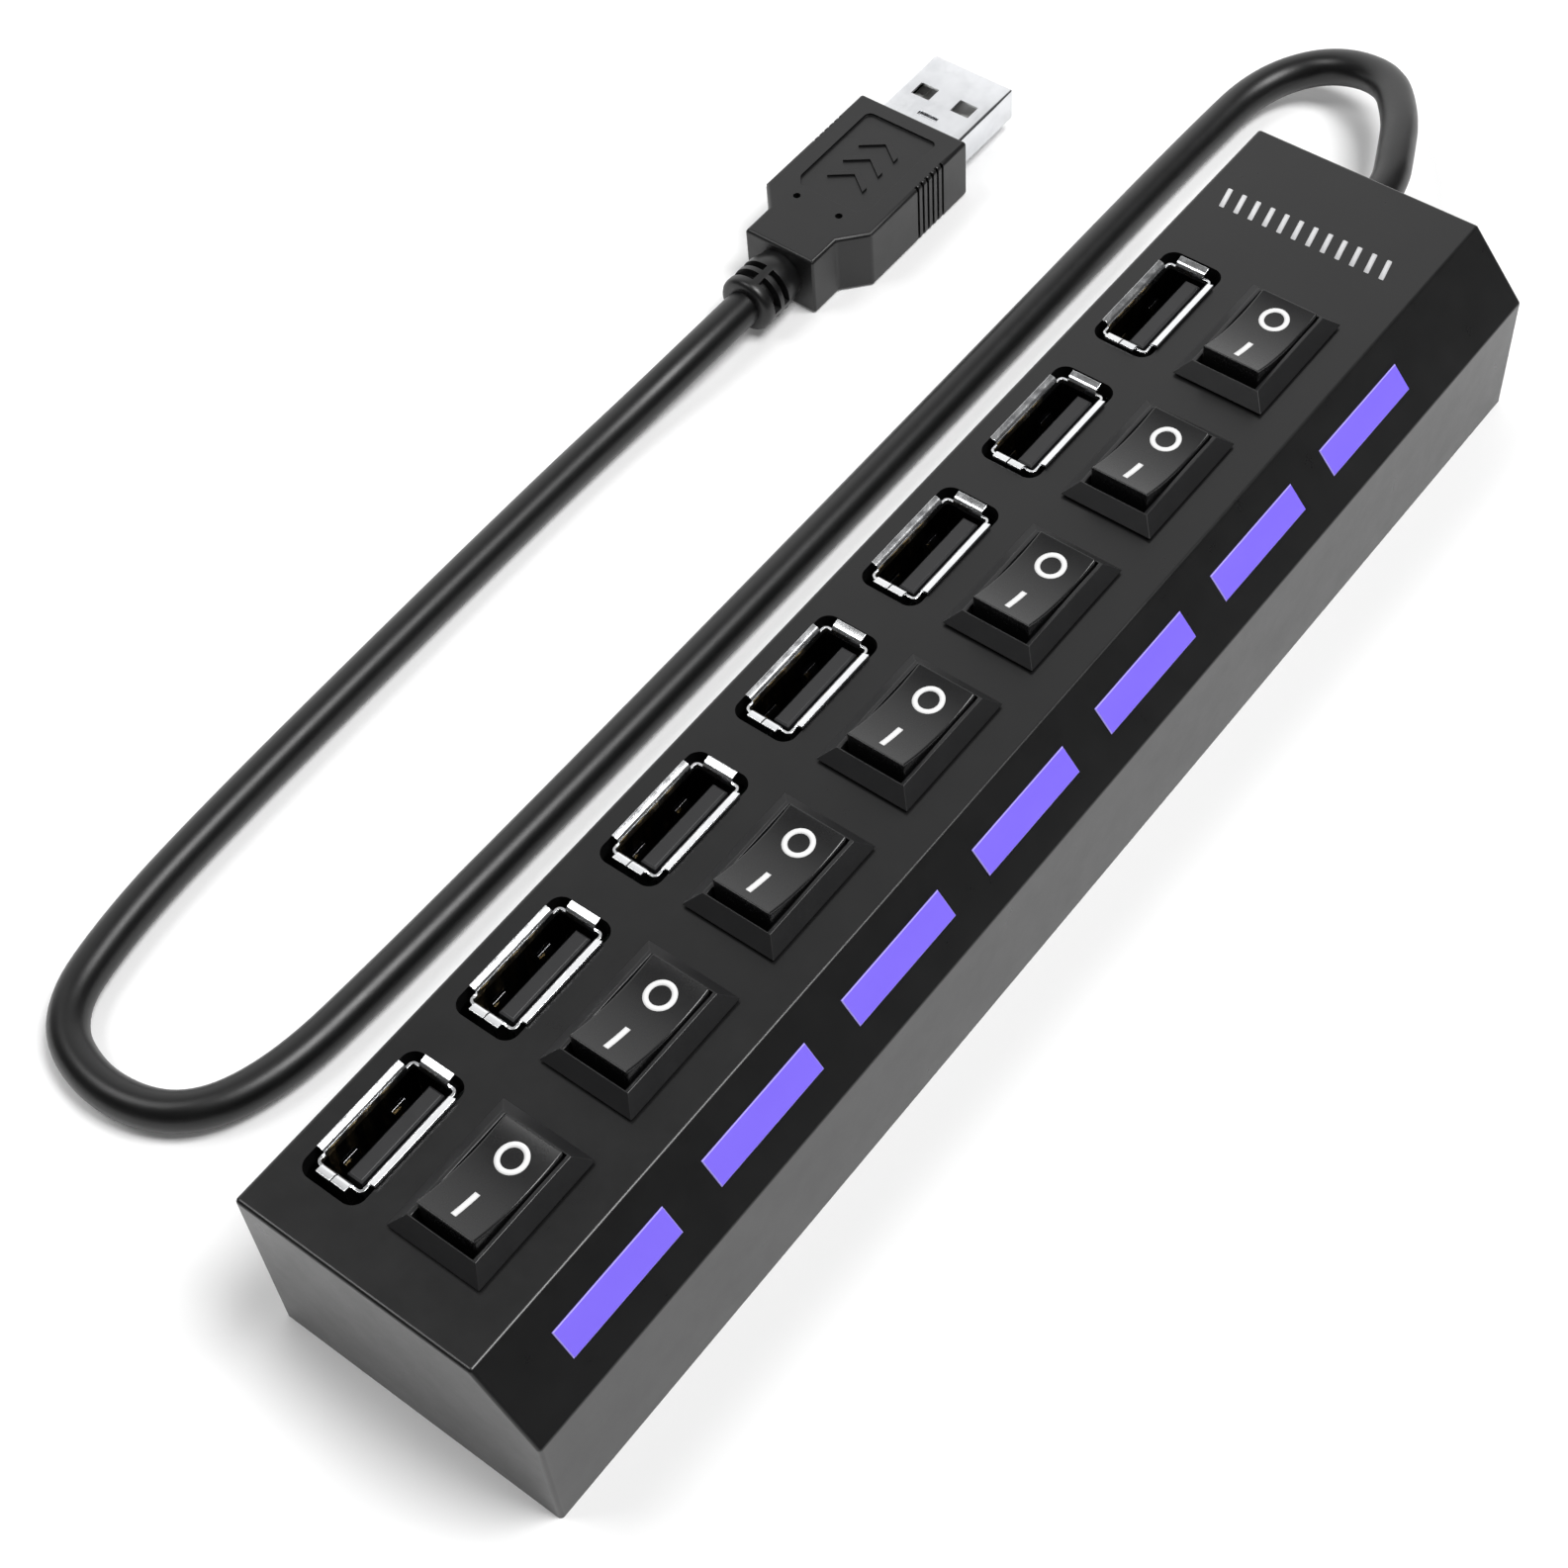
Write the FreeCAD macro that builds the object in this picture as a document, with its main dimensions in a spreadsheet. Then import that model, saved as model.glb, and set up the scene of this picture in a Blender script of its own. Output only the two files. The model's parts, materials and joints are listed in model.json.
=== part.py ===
"""Seven-port USB hub with a rocker switch and a light window for every port.

Frame: millimetres, +Z up, origin at the middle of the housing's underside.  +X runs along the
housing towards the cord, -Y is the side with the sloped edge and the light windows.
"""
import FreeCAD, Part
import Sketcher
import math
import os
import re

VECTOR = FreeCAD.Vector
PORT_COUNT = 7
WIRE_COUNT = 4
RING_COUNT = 4
GROOVE_COUNT = 6

# Driving dimensions in millimetres and degrees, kept in the document's spreadsheet.
SIZES = {
    # Housing: a five-sided bar, open underneath, with one sloped long edge.
    "housing_length": 170.0,
    "housing_width": 35.0,
    "housing_height": 23.6,
    "slope_run": 6.7,
    "slope_drop": 8.0,
    "housing_wall": 2.0,
    "housing_edge": 0.45,
    "cover_play": 0.12,
    "base_thickness": 2.0,
    # Circuit board and the posts that it stands on.
    "board_length": 156.0,
    "board_width": 30.4,
    "board_thickness": 1.6,
    "board_bottom": 8.0,
    "board_post_radius": 2.2,
    # Case screws, driven upwards into posts of the top cover.
    "screw_post_radius": 2.3,
    "screw_post_bottom": 2.05,
    "screw_post_top": 21.8,
    "screw_pilot_radius": 1.25,
    "screw_pilot_depth": 11.0,
    "screw_head_radius": 2.0,
    "screw_head_height": 1.3,
    "screw_shank_radius": 1.15,
    "screw_shank_length": 10.0,
    "screw_sink": 0.1,
    "screw_hole_play": 0.2,
    "drive_length": 2.2,
    "drive_width": 0.6,
    "drive_depth": 0.5,
    # The rows: one port, one switch and one window every port_pitch.
    "port_pitch": 20.98,
    "port_first": -71.1,
    "port_row": 11.4,
    "slot_pitch": 21.08,
    "slot_first": -71.45,
    "slot_row": 11.45,
    "slot_half_length": 7.95,
    "slot_half_width": 3.65,
    "slot_corner": 1.5,
    # USB-A receptacle: a folded steel shell with flared lips round its mouth.
    "port_half_length": 6.65,
    "port_half_width": 2.85,
    "port_corner": 0.6,
    "port_sheet": 0.3,
    "port_mouth_depth": 0.25,
    "lip_rise": 0.25,
    "lip_root": 0.9,
    "lip_side_flare": 0.65,
    "lip_end_flare": 0.87,
    "lip_side_half": 5.6,
    "lip_end_half": 1.8,
    "finger_width": 2.3,
    "finger_height": 5.0,
    "finger_offset": 3.3,
    "finger_bottom": 15.2,
    "tongue_base_height": 2.4,
    "tongue_half_length": 5.65,
    "tongue_thickness": 1.84,
    "tongue_gap": 0.65,
    "tongue_depth": 0.6,
    "contact_width": 1.0,
    "contact_thickness": 0.2,
    "contact_length": 8.0,
    "contact_inner": 1.0,
    "contact_outer": 3.5,
    "contact_depth": 1.2,
    # Rocker switch: raised bezel and body in one piece, with the rocker on two trunnions.
    "switch_first": -70.82,
    "switch_row": -1.1,
    "bezel_half_length": 8.0,
    "bezel_half_width": 5.5,
    "bezel_top_half_length": 6.5,
    "bezel_top_half_width": 4.05,
    "bezel_height": 1.75,
    "switch_half_length": 6.95,
    "switch_half_width": 4.75,
    "switch_bottom": 10.6,
    "switch_play": 0.15,
    "opening_half_length": 6.4,
    "opening_half_width": 3.62,
    "opening_bottom": 15.0,
    "rocker_half_length": 6.05,
    "rocker_half_width": 3.45,
    "rocker_crown": 2.95,
    "rocker_dish": 21.0,
    "rocker_taper": 0.6,
    "rocker_waist": -1.5,
    "rocker_bottom": -3.4,
    "rocker_foot": 2.4,
    "rocker_edge": 0.25,
    "rocker_tilt": 6.4,
    "trunnion_radius": 0.75,
    "trunnion_half_span": 4.25,
    "trunnion_hole_radius": 0.81,
    "trunnion_hole_half_span": 4.4,
    "terminal_spacing": 4.4,
    "terminal_width": 0.9,
    "terminal_thickness": 0.7,
    "terminal_bottom": 6.9,
    "terminal_hole_radius": 0.8,
    # Light windows in the slope and the LEDs on the board under them.
    "window_first": -69.48,
    "window_half_length": 7.67,
    "window_half_width": 1.68,
    "window_play": 0.05,
    "window_rise": 0.08,
    "window_flange": 0.75,
    "window_flange_thickness": 0.8,
    "led_length": 3.2,
    "led_width": 1.6,
    "led_height": 0.9,
    "led_row": -13.0,
    # Other parts on the board.
    "chip_length": 6.0,
    "chip_width": 4.6,
    "chip_height": 1.4,
    "chip_row": -9.2,
    "crystal_length": 4.8,
    "crystal_width": 3.2,
    "crystal_height": 1.2,
    "crystal_place": 3.6,
    "crystal_row": -9.4,
    "capacitor_radius": 2.0,
    "capacitor_height": 5.4,
    "resistor_length": 1.6,
    "resistor_width": 0.8,
    "resistor_height": 0.5,
    "resistor_offset": -6.2,
    "resistor_row": -9.2,
    # Cord and the grommet that holds it in the end wall.
    "cord_radius": 2.25,
    "exit_row": 6.0,
    "exit_height": 11.2,
    "grommet_flange_radius": 4.3,
    "grommet_flange_thickness": 1.2,
    "grommet_neck_radius": 3.3,
    "grommet_hole_radius": 3.4,
    "grommet_sleeve_radius": 3.6,
    "grommet_tip_radius": 2.85,
    "grommet_sleeve_length": 6.0,
    "wire_radius": 0.55,
    "wire_length": 7.0,
    "wire_first": -2.4,
    "wire_pitch": 1.6,
    # Plug: ribbed strain relief, moulded grip, steel shell with latch holes.
    "plug_tail": 51.2,
    "plug_row": 62.1,
    "plug_height": 4.2,
    "grip_length": 27.5,
    "grip_thickness": 8.4,
    "grip_half_width": 8.05,
    "grip_tail_half_width": 5.15,
    "grip_tail_length": 4.7,
    "grip_shoulder": 7.9,
    "grip_edge": 0.5,
    "panel_start": 9.9,
    "panel_corner": 1.4,
    "panel_end": 25.2,
    "panel_half_width": 5.3,
    "panel_tail_half_width": 4.2,
    "panel_depth": 0.35,
    "groove_start": 17.2,
    "groove_pitch": 1.0,
    "groove_width": 0.45,
    "groove_depth": 0.5,
    "relief_length": 7.2,
    "relief_core_radius": 2.95,
    "relief_ring_radius": 3.75,
    "relief_ring_thickness": 1.35,
    "relief_ring_pitch": 1.95,
    "plug_shell_length": 12.8,
    "plug_shell_half_width": 6.0,
    "plug_shell_half_height": 2.25,
    "plug_shell_corner": 0.6,
    "plug_sheet": 0.3,
    "latch_hole_near": 5.3,
    "latch_hole_length": 2.3,
    "latch_hole_width": 2.7,
    "latch_hole_offset": 3.0,
    "plug_tongue_thickness": 1.9,
    "plug_tongue_half_width": 5.5,
    "plug_tongue_length": 12.4,
    "plug_contact_start": 4.2,
    "plug_contact_length": 7.4,
}

# Screws: near end first, each clear of the ports, the switches and the grommet.
SCREW_PLACES = [(-80.5, -9.5), (-80.5, 4.5), (80.5, -9.5), (80.5, 13.0)]
BOARD_POSTS = [(-60.3, -11.0), (-60.3, 6.3), (65.6, -11.0), (65.6, 6.3)]
# The two hub controllers' places along their row, and the capacitors' places.
CHIP_PLACES = [-19.0, 42.0]
CAPACITOR_PLACES = [(70.8, 11.4), (70.8, 5.2), (75.4, -4.6)]

# Route of the cord's middle line: corner points of its straight runs, from the grommet's tip
# through the loop beside the end wall, along the housing, round the turn and back to the plug.
CORD_ROUTE = [
    (91.0, 6.0, 11.2),
    (97.0, 6.0, 11.2),
    (103.8, 9.0, 10.5),
    (110.4, 12.1, 9.3),
    (118.2, 18.0, 7.3),
    (119.2, 27.0, 4.8),
    (112.8, 33.1, 3.0),
    (101.0, 33.9, 2.35),
    (84.0, 34.03, 2.3),
    (52.0, 33.88, 2.3),
    (8.0, 33.85, 2.3),
    (-26.0, 33.98, 2.3),
    (-51.0, 34.28, 2.3),
    (-67.0, 35.0, 2.3),
    (-76.3, 39.6, 2.3),
    (-79.0, 49.3, 2.3),
    (-75.4, 58.8, 2.3),
    (-63.0, 61.7, 2.3),
    (-46.0, 62.75, 2.3),
    (-16.0, 63.35, 2.3),
    (10.0, 63.6, 2.3),
    (24.0, 63.2, 2.6),
    (35.5, 62.1, 4.2),
    (44.0, 62.1, 4.2),
]
ARC_SHARE = 0.45

document = FreeCAD.newDocument("usb_hub")
sheet = document.addObject("Spreadsheet::Sheet", "Sizes")
for sheet_row, (alias, number) in enumerate(SIZES.items(), start=1):
    sheet.set("A%d" % sheet_row, alias)
    sheet.set("B%d" % sheet_row, str(number))
    sheet.setAlias("B%d" % sheet_row, alias)
document.recompute()

nodes = []


def bind(item, prop, expression):
    """Bind a property to an expression in which sheet aliases stand as plain words."""
    item.setExpression(prop, re.sub(r"\b[a-z]+(?:_[a-z]+)+\b", r"Sizes.\g<0>", str(expression)))


def bind_place(item, x, y, z):
    """Bind an object's position to three expressions."""
    bind(item, "Placement.Base.x", x)
    bind(item, "Placement.Base.y", y)
    bind(item, "Placement.Base.z", z)


def node(item, label):
    """Register an object as a sub-part; its label names its file."""
    item.Label = label
    nodes.append(item)
    return item


def box(name, size, centre, bottom):
    """A block given by its three sizes, the middle of its footprint and its lowest level."""
    block = document.addObject("Part::Box", name)
    bind(block, "Length", size[0])
    bind(block, "Width", size[1])
    bind(block, "Height", size[2])
    bind_place(block, "%s - (%s) / 2" % (centre[0], size[0]), "%s - (%s) / 2" % (centre[1], size[1]),
               bottom)
    return block


def cylinder(name, radius, length, start, axis="z"):
    """A rod from a start point along +Z, +X or +Y."""
    turns = {"z": FreeCAD.Rotation(), "x": FreeCAD.Rotation(VECTOR(0, 1, 0), 90),
             "y": FreeCAD.Rotation(VECTOR(1, 0, 0), -90)}
    rod = document.addObject("Part::Cylinder", name)
    rod.Placement.Rotation = turns[axis]
    bind(rod, "Radius", radius)
    bind(rod, "Height", length)
    bind_place(rod, *start)
    return rod


def frustum(name, lower, upper, bottom, top):
    """A block between two level rectangles, each (x low, x high, y low, y high)."""
    wedge = document.addObject("Part::Wedge", name)
    wedge.Placement.Rotation = FreeCAD.Rotation(VECTOR(1, 0, 0), 90)
    bounds = {"Xmin": lower[0], "Xmax": lower[1],
              "Zmin": "-(%s)" % lower[3], "Zmax": "-(%s)" % lower[2],
              "X2min": upper[0], "X2max": upper[1], "Z2min": "-(%s)" % upper[3],
              "Z2max": "-(%s)" % upper[2], "Ymin": bottom, "Ymax": top}
    for prop, expression in bounds.items():
        bind(wedge, prop, expression)
    return wedge


def cut(name, base, tool):
    """Base minus tool."""
    result = document.addObject("Part::Cut", name)
    result.Base = base
    result.Tool = tool
    return result


def fuse(name, parts):
    """Several overlapping solids joined into one."""
    result = document.addObject("Part::MultiFuse", name)
    result.Shapes = parts
    return result


def group(name, parts):
    """Several separate solids kept side by side."""
    result = document.addObject("Part::Compound", name)
    result.Links = parts
    return result


def new_body(name):
    """An empty PartDesign body."""
    return document.addObject("PartDesign::Body", name)


def new_sketch(body, name, role):
    """A sketch on one of the body's own origin planes."""
    plane = [feature for feature in body.Origin.OriginFeatures if feature.Role == role][0]
    sketch = body.newObject("Sketcher::SketchObject", name)
    sketch.AttachmentSupport = [(plane, "")]
    sketch.MapMode = "FlatFace"
    return sketch


def fix_point(sketch, line, end, x, y):
    """Hold one end of a sketch line at two expressions, measured from the sketch's origin."""
    now = sketch.getPoint(line, end)
    for kind, start, expression in (("DistanceX", now.x, x), ("DistanceY", now.y, y)):
        index = sketch.addConstraint(Sketcher.Constraint(kind, -1, 1, line, end, start))
        bind(sketch, "Constraints[%d]" % index, expression)


def outline(sketch, corners):
    """A closed outline of straight lines through corners given as pairs of expressions."""
    count = len(corners)
    first = sketch.GeometryCount
    ring = [VECTOR(10 * math.cos(2 * math.pi * step / count), 10 * math.sin(2 * math.pi * step / count), 0)
            for step in range(count)]
    for step in range(count):
        sketch.addGeometry(Part.LineSegment(ring[step], ring[(step + 1) % count]), False)
    for step in range(count):
        following = first + (step + 1) % count
        sketch.addConstraint(Sketcher.Constraint("Coincident", first + step, 2, following, 1))
    for step, (x, y) in enumerate(corners):
        fix_point(sketch, first + step, 1, x, y)


def rectangle(sketch, x_low, x_high, y_low, y_high):
    """A rectangle between four expressions."""
    outline(sketch, [(x_low, y_low), (x_high, y_low), (x_high, y_high), (x_low, y_high)])


def circle(sketch, x, y, radius):
    """A circle with its centre and radius bound to expressions."""
    index = sketch.addGeometry(Part.Circle(VECTOR(1, 1, 0), VECTOR(0, 0, 1), 1), False)
    fix_point(sketch, index, 3, x, y)
    size = sketch.addConstraint(Sketcher.Constraint("Radius", index, 1.0))
    bind(sketch, "Constraints[%d]" % size, radius)


def rounded_rectangle(sketch, half_length, half_width, radius, inset=""):
    """A rectangle with round corners about the sketch's origin, optionally drawn in by a sheet."""
    less = SIZES[inset] if inset else 0.0
    reach = (SIZES[half_length] - less, SIZES[half_width] - less, SIZES[radius] - less)
    drawn_in = " - " + inset if inset else ""
    names = ["(%s%s)" % (name, drawn_in) for name in (half_length, half_width, radius)]
    first = sketch.GeometryCount
    corners = [(1, -1), (1, 1), (-1, 1), (-1, -1)]
    ends = []
    for sign_x, sign_y in corners:
        beside = (sign_x, sign_y, 1, 0) if sign_x * sign_y < 0 else (sign_x, sign_y, 0, 1)
        other = (sign_x, sign_y, 0, 1) if sign_x * sign_y < 0 else (sign_x, sign_y, 1, 0)
        ends.append((beside, other))

    def place(end):
        sign_x, sign_y, back_x, back_y = end
        return VECTOR(sign_x * (reach[0] - back_x * reach[2]), sign_y * (reach[1] - back_y * reach[2]), 0)

    def words(end):
        sign_x, sign_y, back_x, back_y = end
        return ("%d * (%s - %d * %s)" % (sign_x, names[0], back_x, names[2]),
                "%d * (%s - %d * %s)" % (sign_y, names[1], back_y, names[2]))

    for step in range(4):
        start, stop = ends[step][1], ends[(step + 1) % 4][0]
        line = sketch.addGeometry(Part.LineSegment(place(start), place(stop)), False)
        fix_point(sketch, line, 1, *words(start))
        fix_point(sketch, line, 2, *words(stop))
    for step in range(4):
        start, stop = ends[step]
        sign_x, sign_y = corners[step]
        middle = VECTOR(sign_x * (reach[0] - reach[2]), sign_y * (reach[1] - reach[2]), 0)
        through = middle + VECTOR(sign_x, sign_y, 0).normalize() * reach[2]
        arc = sketch.addGeometry(Part.Arc(place(start), through, place(stop)), False)
        before = first + (step - 1) % 4
        sketch.addConstraint(Sketcher.Constraint("Coincident", before, 2, arc, 1))
        sketch.addConstraint(Sketcher.Constraint("Coincident", arc, 2, first + step, 1))
        size = sketch.addConstraint(Sketcher.Constraint("Radius", arc, reach[2]))
        bind(sketch, "Constraints[%d]" % size, names[2])


def pad(body, name, sketch, length, midplane=False):
    """Add a sketch's outline as a solid."""
    feature = body.newObject("PartDesign::Pad", name)
    feature.Profile = sketch
    feature.Midplane = midplane
    bind(feature, "Length", length)
    return feature


def pocket(body, name, sketch, length, midplane=False, flipped=False):
    """Cut a sketch's outline out of the body and make sure that it removed something."""
    document.recompute()
    before = body.Shape.Volume
    feature = body.newObject("PartDesign::Pocket", name)
    feature.Profile = sketch
    feature.Midplane = midplane
    feature.Reversed = flipped
    bind(feature, "Length", length)
    document.recompute()
    assert body.Shape.Volume < before - 0.01, name + " cuts nothing"
    return feature


def repeat(body, name, feature, sketch, pitch, count):
    """Repeat a feature along the sketch's first axis."""
    pattern = body.newObject("PartDesign::LinearPattern", name)
    pattern.Originals = [feature]
    pattern.Direction = (sketch, ["H_Axis"])
    bind(pattern, "Length", "%s * %d" % (pitch, count - 1))
    pattern.Occurrences = count
    body.Tip = pattern
    document.recompute()
    return pattern


def round_edges(body, name, feature, chosen, radius):
    """Round those edges of a feature that the given test picks."""
    document.recompute()
    edges = enumerate(feature.Shape.Edges, start=1)
    names = ["Edge%d" % number for number, edge in edges if chosen(edge)]
    fillet = body.newObject("PartDesign::Fillet", name)
    fillet.Base = (feature, names)
    bind(fillet, "Radius", radius)
    body.Tip = fillet
    document.recompute()
    return fillet


def on_slope(item):
    """Lay an item's plane in the sloped face: local X along the hub, local Y up the slope."""
    item.AttachmentOffset = FreeCAD.Placement(VECTOR(), FreeCAD.Rotation(VECTOR(1, 0, 0), 45))
    bind(item, "AttachmentOffset.Rotation.Angle", "atan(slope_drop / slope_run)")
    bind(item, "AttachmentOffset.Base.y", "-housing_width / 2 + slope_run / 2")
    bind(item, "AttachmentOffset.Base.z", "housing_height - slope_drop / 2")


def top_cover():
    """The housing: a bar with one sloped edge, hollow, open below, with its cut-outs and posts."""
    body = new_body("cover_body")
    profile = new_sketch(body, "cover_profile", "YZ_Plane")
    half = "housing_width / 2"
    outline(profile, [("-" + half, 0), (half, 0), (half, "housing_height"),
                      ("-%s + slope_run" % half, "housing_height"),
                      ("-" + half, "housing_height - slope_drop")])
    bar = pad(body, "cover_bar", profile, "housing_length", midplane=True)
    lowest = 0.01
    round_edges(body, "cover_edges", bar, lambda edge: edge.BoundBox.ZMax > lowest, "housing_edge")

    hollow = new_sketch(body, "cover_hollow", "YZ_Plane")
    slant = "sqrt(slope_run * slope_run + slope_drop * slope_drop)"
    inner = "(%s - housing_wall)" % half
    outline(hollow, [("-" + inner, -1), (inner, -1), (inner, "housing_height - housing_wall"),
                     ("-%s + (housing_wall * %s + slope_run * (slope_drop - housing_wall)) / slope_drop"
                      % (half, slant), "housing_height - housing_wall"),
                     ("-" + inner, "housing_height - slope_drop"
                      " + housing_wall * (slope_drop - %s) / slope_run" % slant)])
    pocket(body, "cover_cavity", hollow, "housing_length - 2 * housing_wall", midplane=True)

    posts = new_sketch(body, "post_circles", "XY_Plane")
    bind(posts, "AttachmentOffset.Base.z", "screw_post_bottom")
    pilots = new_sketch(body, "pilot_circles", "XY_Plane")
    bind(pilots, "AttachmentOffset.Base.z", "screw_post_bottom")
    for x, y in SCREW_PLACES:
        circle(posts, x, y, "screw_post_radius")
        circle(pilots, x, y, "screw_pilot_radius")
    pad(body, "screw_posts", posts, "screw_post_top - screw_post_bottom")
    pocket(body, "screw_pilots", pilots, "screw_pilot_depth", flipped=True)

    slot = new_sketch(body, "port_slot", "XY_Plane")
    rounded_rectangle(slot, "slot_half_length", "slot_half_width", "slot_corner")
    bind(slot, "AttachmentOffset.Base.x", "slot_first")
    bind(slot, "AttachmentOffset.Base.y", "slot_row")
    bind(slot, "AttachmentOffset.Base.z", "housing_height + 1")
    slot_cut = pocket(body, "port_slot_cut", slot, "housing_wall + 2")
    repeat(body, "port_slots", slot_cut, slot, "slot_pitch", PORT_COUNT)

    seat = new_sketch(body, "switch_seat", "XY_Plane")
    reach = ("(switch_half_length + switch_play)", "(switch_half_width + switch_play)")
    rectangle(seat, "switch_first - " + reach[0], "switch_first + " + reach[0],
              "switch_row - " + reach[1], "switch_row + " + reach[1])
    bind(seat, "AttachmentOffset.Base.z", "housing_height + 1")
    seat_cut = pocket(body, "switch_seat_cut", seat, "housing_wall + 2")
    repeat(body, "switch_seats", seat_cut, seat, "port_pitch", PORT_COUNT)

    window = new_sketch(body, "window_hole", "XY_Plane")
    on_slope(window)
    reach = ("(window_half_length + window_play)", "(window_half_width + window_play)")
    rectangle(window, "window_first - " + reach[0], "window_first + " + reach[0],
              "-" + reach[1], reach[1])
    window_cut = pocket(body, "window_hole_cut", window, "housing_wall * 2")
    repeat(body, "window_holes", window_cut, window, "port_pitch", PORT_COUNT)

    hole = new_sketch(body, "cord_hole", "YZ_Plane")
    circle(hole, "exit_row", "exit_height", "grommet_hole_radius")
    pocket(body, "cord_hole_cut", hole, "housing_length / 2 + 1", flipped=True)
    return node(body, "top_cover")


def bottom_cover():
    """The inset plate that closes the housing, with board posts and sunk screw holes."""
    less = " - 2 * (housing_wall + cover_play)"
    plate = box("base_plate", ("housing_length" + less, "housing_width" + less, "base_thickness"),
                (0, 0), 0)
    posts = [cylinder("board_post", "board_post_radius", "board_bottom - base_thickness + 1",
                      (x, y, "base_thickness - 1")) for x, y in BOARD_POSTS]
    holes = []
    for x, y in SCREW_PLACES:
        holes.append(cylinder("head_recess", "screw_head_radius + screw_hole_play",
                              "screw_head_height + screw_sink", (x, y, 0)))
        holes.append(cylinder("shank_hole", "screw_shank_radius + screw_hole_play", "base_thickness",
                              (x, y, 0)))
    solid = fuse("base_and_posts", [plate] + posts)
    return node(cut("base_cut", solid, fuse("base_holes", holes)), "bottom_cover")


def case_screws():
    """Four cross-head screws, driven from below with their heads just under the surface."""
    screws = []
    for x, y in SCREW_PLACES:
        head = cylinder("screw_head", "screw_head_radius", "screw_head_height", (x, y, "screw_sink"))
        shank = cylinder("screw_shank", "screw_shank_radius", "screw_shank_length", (x, y, "screw_sink"))
        slot_one = box("drive_slot", ("drive_length", "drive_width", "drive_depth"), (x, y), "screw_sink")
        slot_two = box("drive_slot", ("drive_width", "drive_length", "drive_depth"), (x, y), "screw_sink")
        blank = fuse("screw_blank", [head, shank])
        screws.append(cut("screw", blank, fuse("screw_drive", [slot_one, slot_two])))
    return node(group("screws", screws), "case_screws")


def main_board():
    """The circuit board, drilled for the switches' terminals."""
    body = new_body("board_body")
    face = new_sketch(body, "board_outline", "XY_Plane")
    rectangle(face, "-board_length / 2", "board_length / 2", "-board_width / 2", "board_width / 2")
    bind(face, "AttachmentOffset.Base.z", "board_bottom")
    pad(body, "board_pad", face, "board_thickness")
    holes = new_sketch(body, "terminal_holes", "XY_Plane")
    for step in (-1, 0, 1):
        circle(holes, "switch_first + %d * terminal_spacing" % step, "switch_row", "terminal_hole_radius")
    bind(holes, "AttachmentOffset.Base.z", "board_bottom + board_thickness + 1")
    drilled = pocket(body, "terminal_drilling", holes, "board_thickness + 2")
    repeat(body, "terminal_drillings", drilled, holes, "port_pitch", PORT_COUNT)
    return node(body, "main_board")


def port_x(index):
    """Expression for the middle of a receptacle."""
    return "port_first + %d * port_pitch" % index


def wall_range(middle, half, side):
    """Lower and upper face of one of a receptacle's walls, along the axis that crosses it."""
    if side < 0:
        return "%s - %s" % (middle, half), "%s - %s + port_sheet" % (middle, half)
    return "%s + %s - port_sheet" % (middle, half), "%s + %s" % (middle, half)


def usb_shell(index):
    """One receptacle's shell: an upright tube of sheet steel with windows and four flared lips."""
    tag = str(index + 1)
    body = new_body("shell_tube_" + tag)
    section = new_sketch(body, "shell_section_" + tag, "XY_Plane")
    rounded_rectangle(section, "port_half_length", "port_half_width", "port_corner")
    rounded_rectangle(section, "port_half_length", "port_half_width", "port_corner", "port_sheet")
    pad(body, "shell_walls_" + tag, section,
        "housing_height - port_mouth_depth - board_bottom - board_thickness")
    bind_place(body, port_x(index), "port_row", "board_bottom + board_thickness")

    x, y = "(%s)" % port_x(index), "port_row"
    root, tip = "housing_height - lip_root", "housing_height + lip_rise"
    lips = []
    for side in (-1, 1):
        span = (x + " - lip_side_half", x + " + lip_side_half")
        wall = wall_range(y, "port_half_width", side)
        flared = tuple("%s + %d * lip_side_flare" % (level, side) for level in wall)
        lips.append(frustum("side_lip", span + wall, span + flared, root, tip))
        span = (y + " - lip_end_half", y + " + lip_end_half")
        wall = wall_range(x, "port_half_length", side)
        flared = tuple("%s + %d * lip_end_flare" % (level, side) for level in wall)
        lips.append(frustum("end_lip", wall + span, flared + span, root, tip))
    windows = [box("finger_window", ("finger_width", "3 * port_half_width", "finger_height"),
                   ("%s + %d * finger_offset" % (x, side), y), "finger_bottom") for side in (-1, 1)]
    tube = cut("shell_cut_" + tag, body, fuse("finger_windows", windows))
    return node(fuse("shell_and_lips_" + tag, [tube] + lips), "usb_shell_" + tag)


def usb_tongue(index):
    """One receptacle's plastic: a base between the walls and the tongue that carries the contacts."""
    x = "(%s)" % port_x(index)
    foot = "board_bottom + board_thickness"
    base = box("tongue_base", ("2 * (port_half_length - port_sheet - 0.1)",
                               "2 * (port_half_width - port_sheet - 0.05)", "tongue_base_height"),
               (x, "port_row"), foot)
    blade = box("tongue_blade", ("2 * tongue_half_length", "tongue_thickness",
                                 "housing_height - tongue_depth - %s" % foot.replace(" + ", " - ")),
                (x, "port_row - port_half_width + port_sheet + tongue_gap + tongue_thickness / 2"), foot)
    return node(fuse("tongue_%d" % (index + 1), [base, blade]), "usb_tongue_%d" % (index + 1))


def usb_contacts():
    """Four contact strips on the open side of each tongue."""
    strips = []
    for index in range(PORT_COUNT):
        for place in ("-contact_outer", "-contact_inner", "contact_inner", "contact_outer"):
            strips.append(box("contact_strip", ("contact_width", "contact_thickness", "contact_length"),
                              ("%s + (%s)" % (port_x(index), place),
                               "port_row - port_half_width + port_sheet + tongue_gap + tongue_thickness"
                               " + contact_thickness / 2"),
                              "housing_height - contact_depth - contact_length"))
    return node(group("contact_strips", strips), "usb_contacts")


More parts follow.
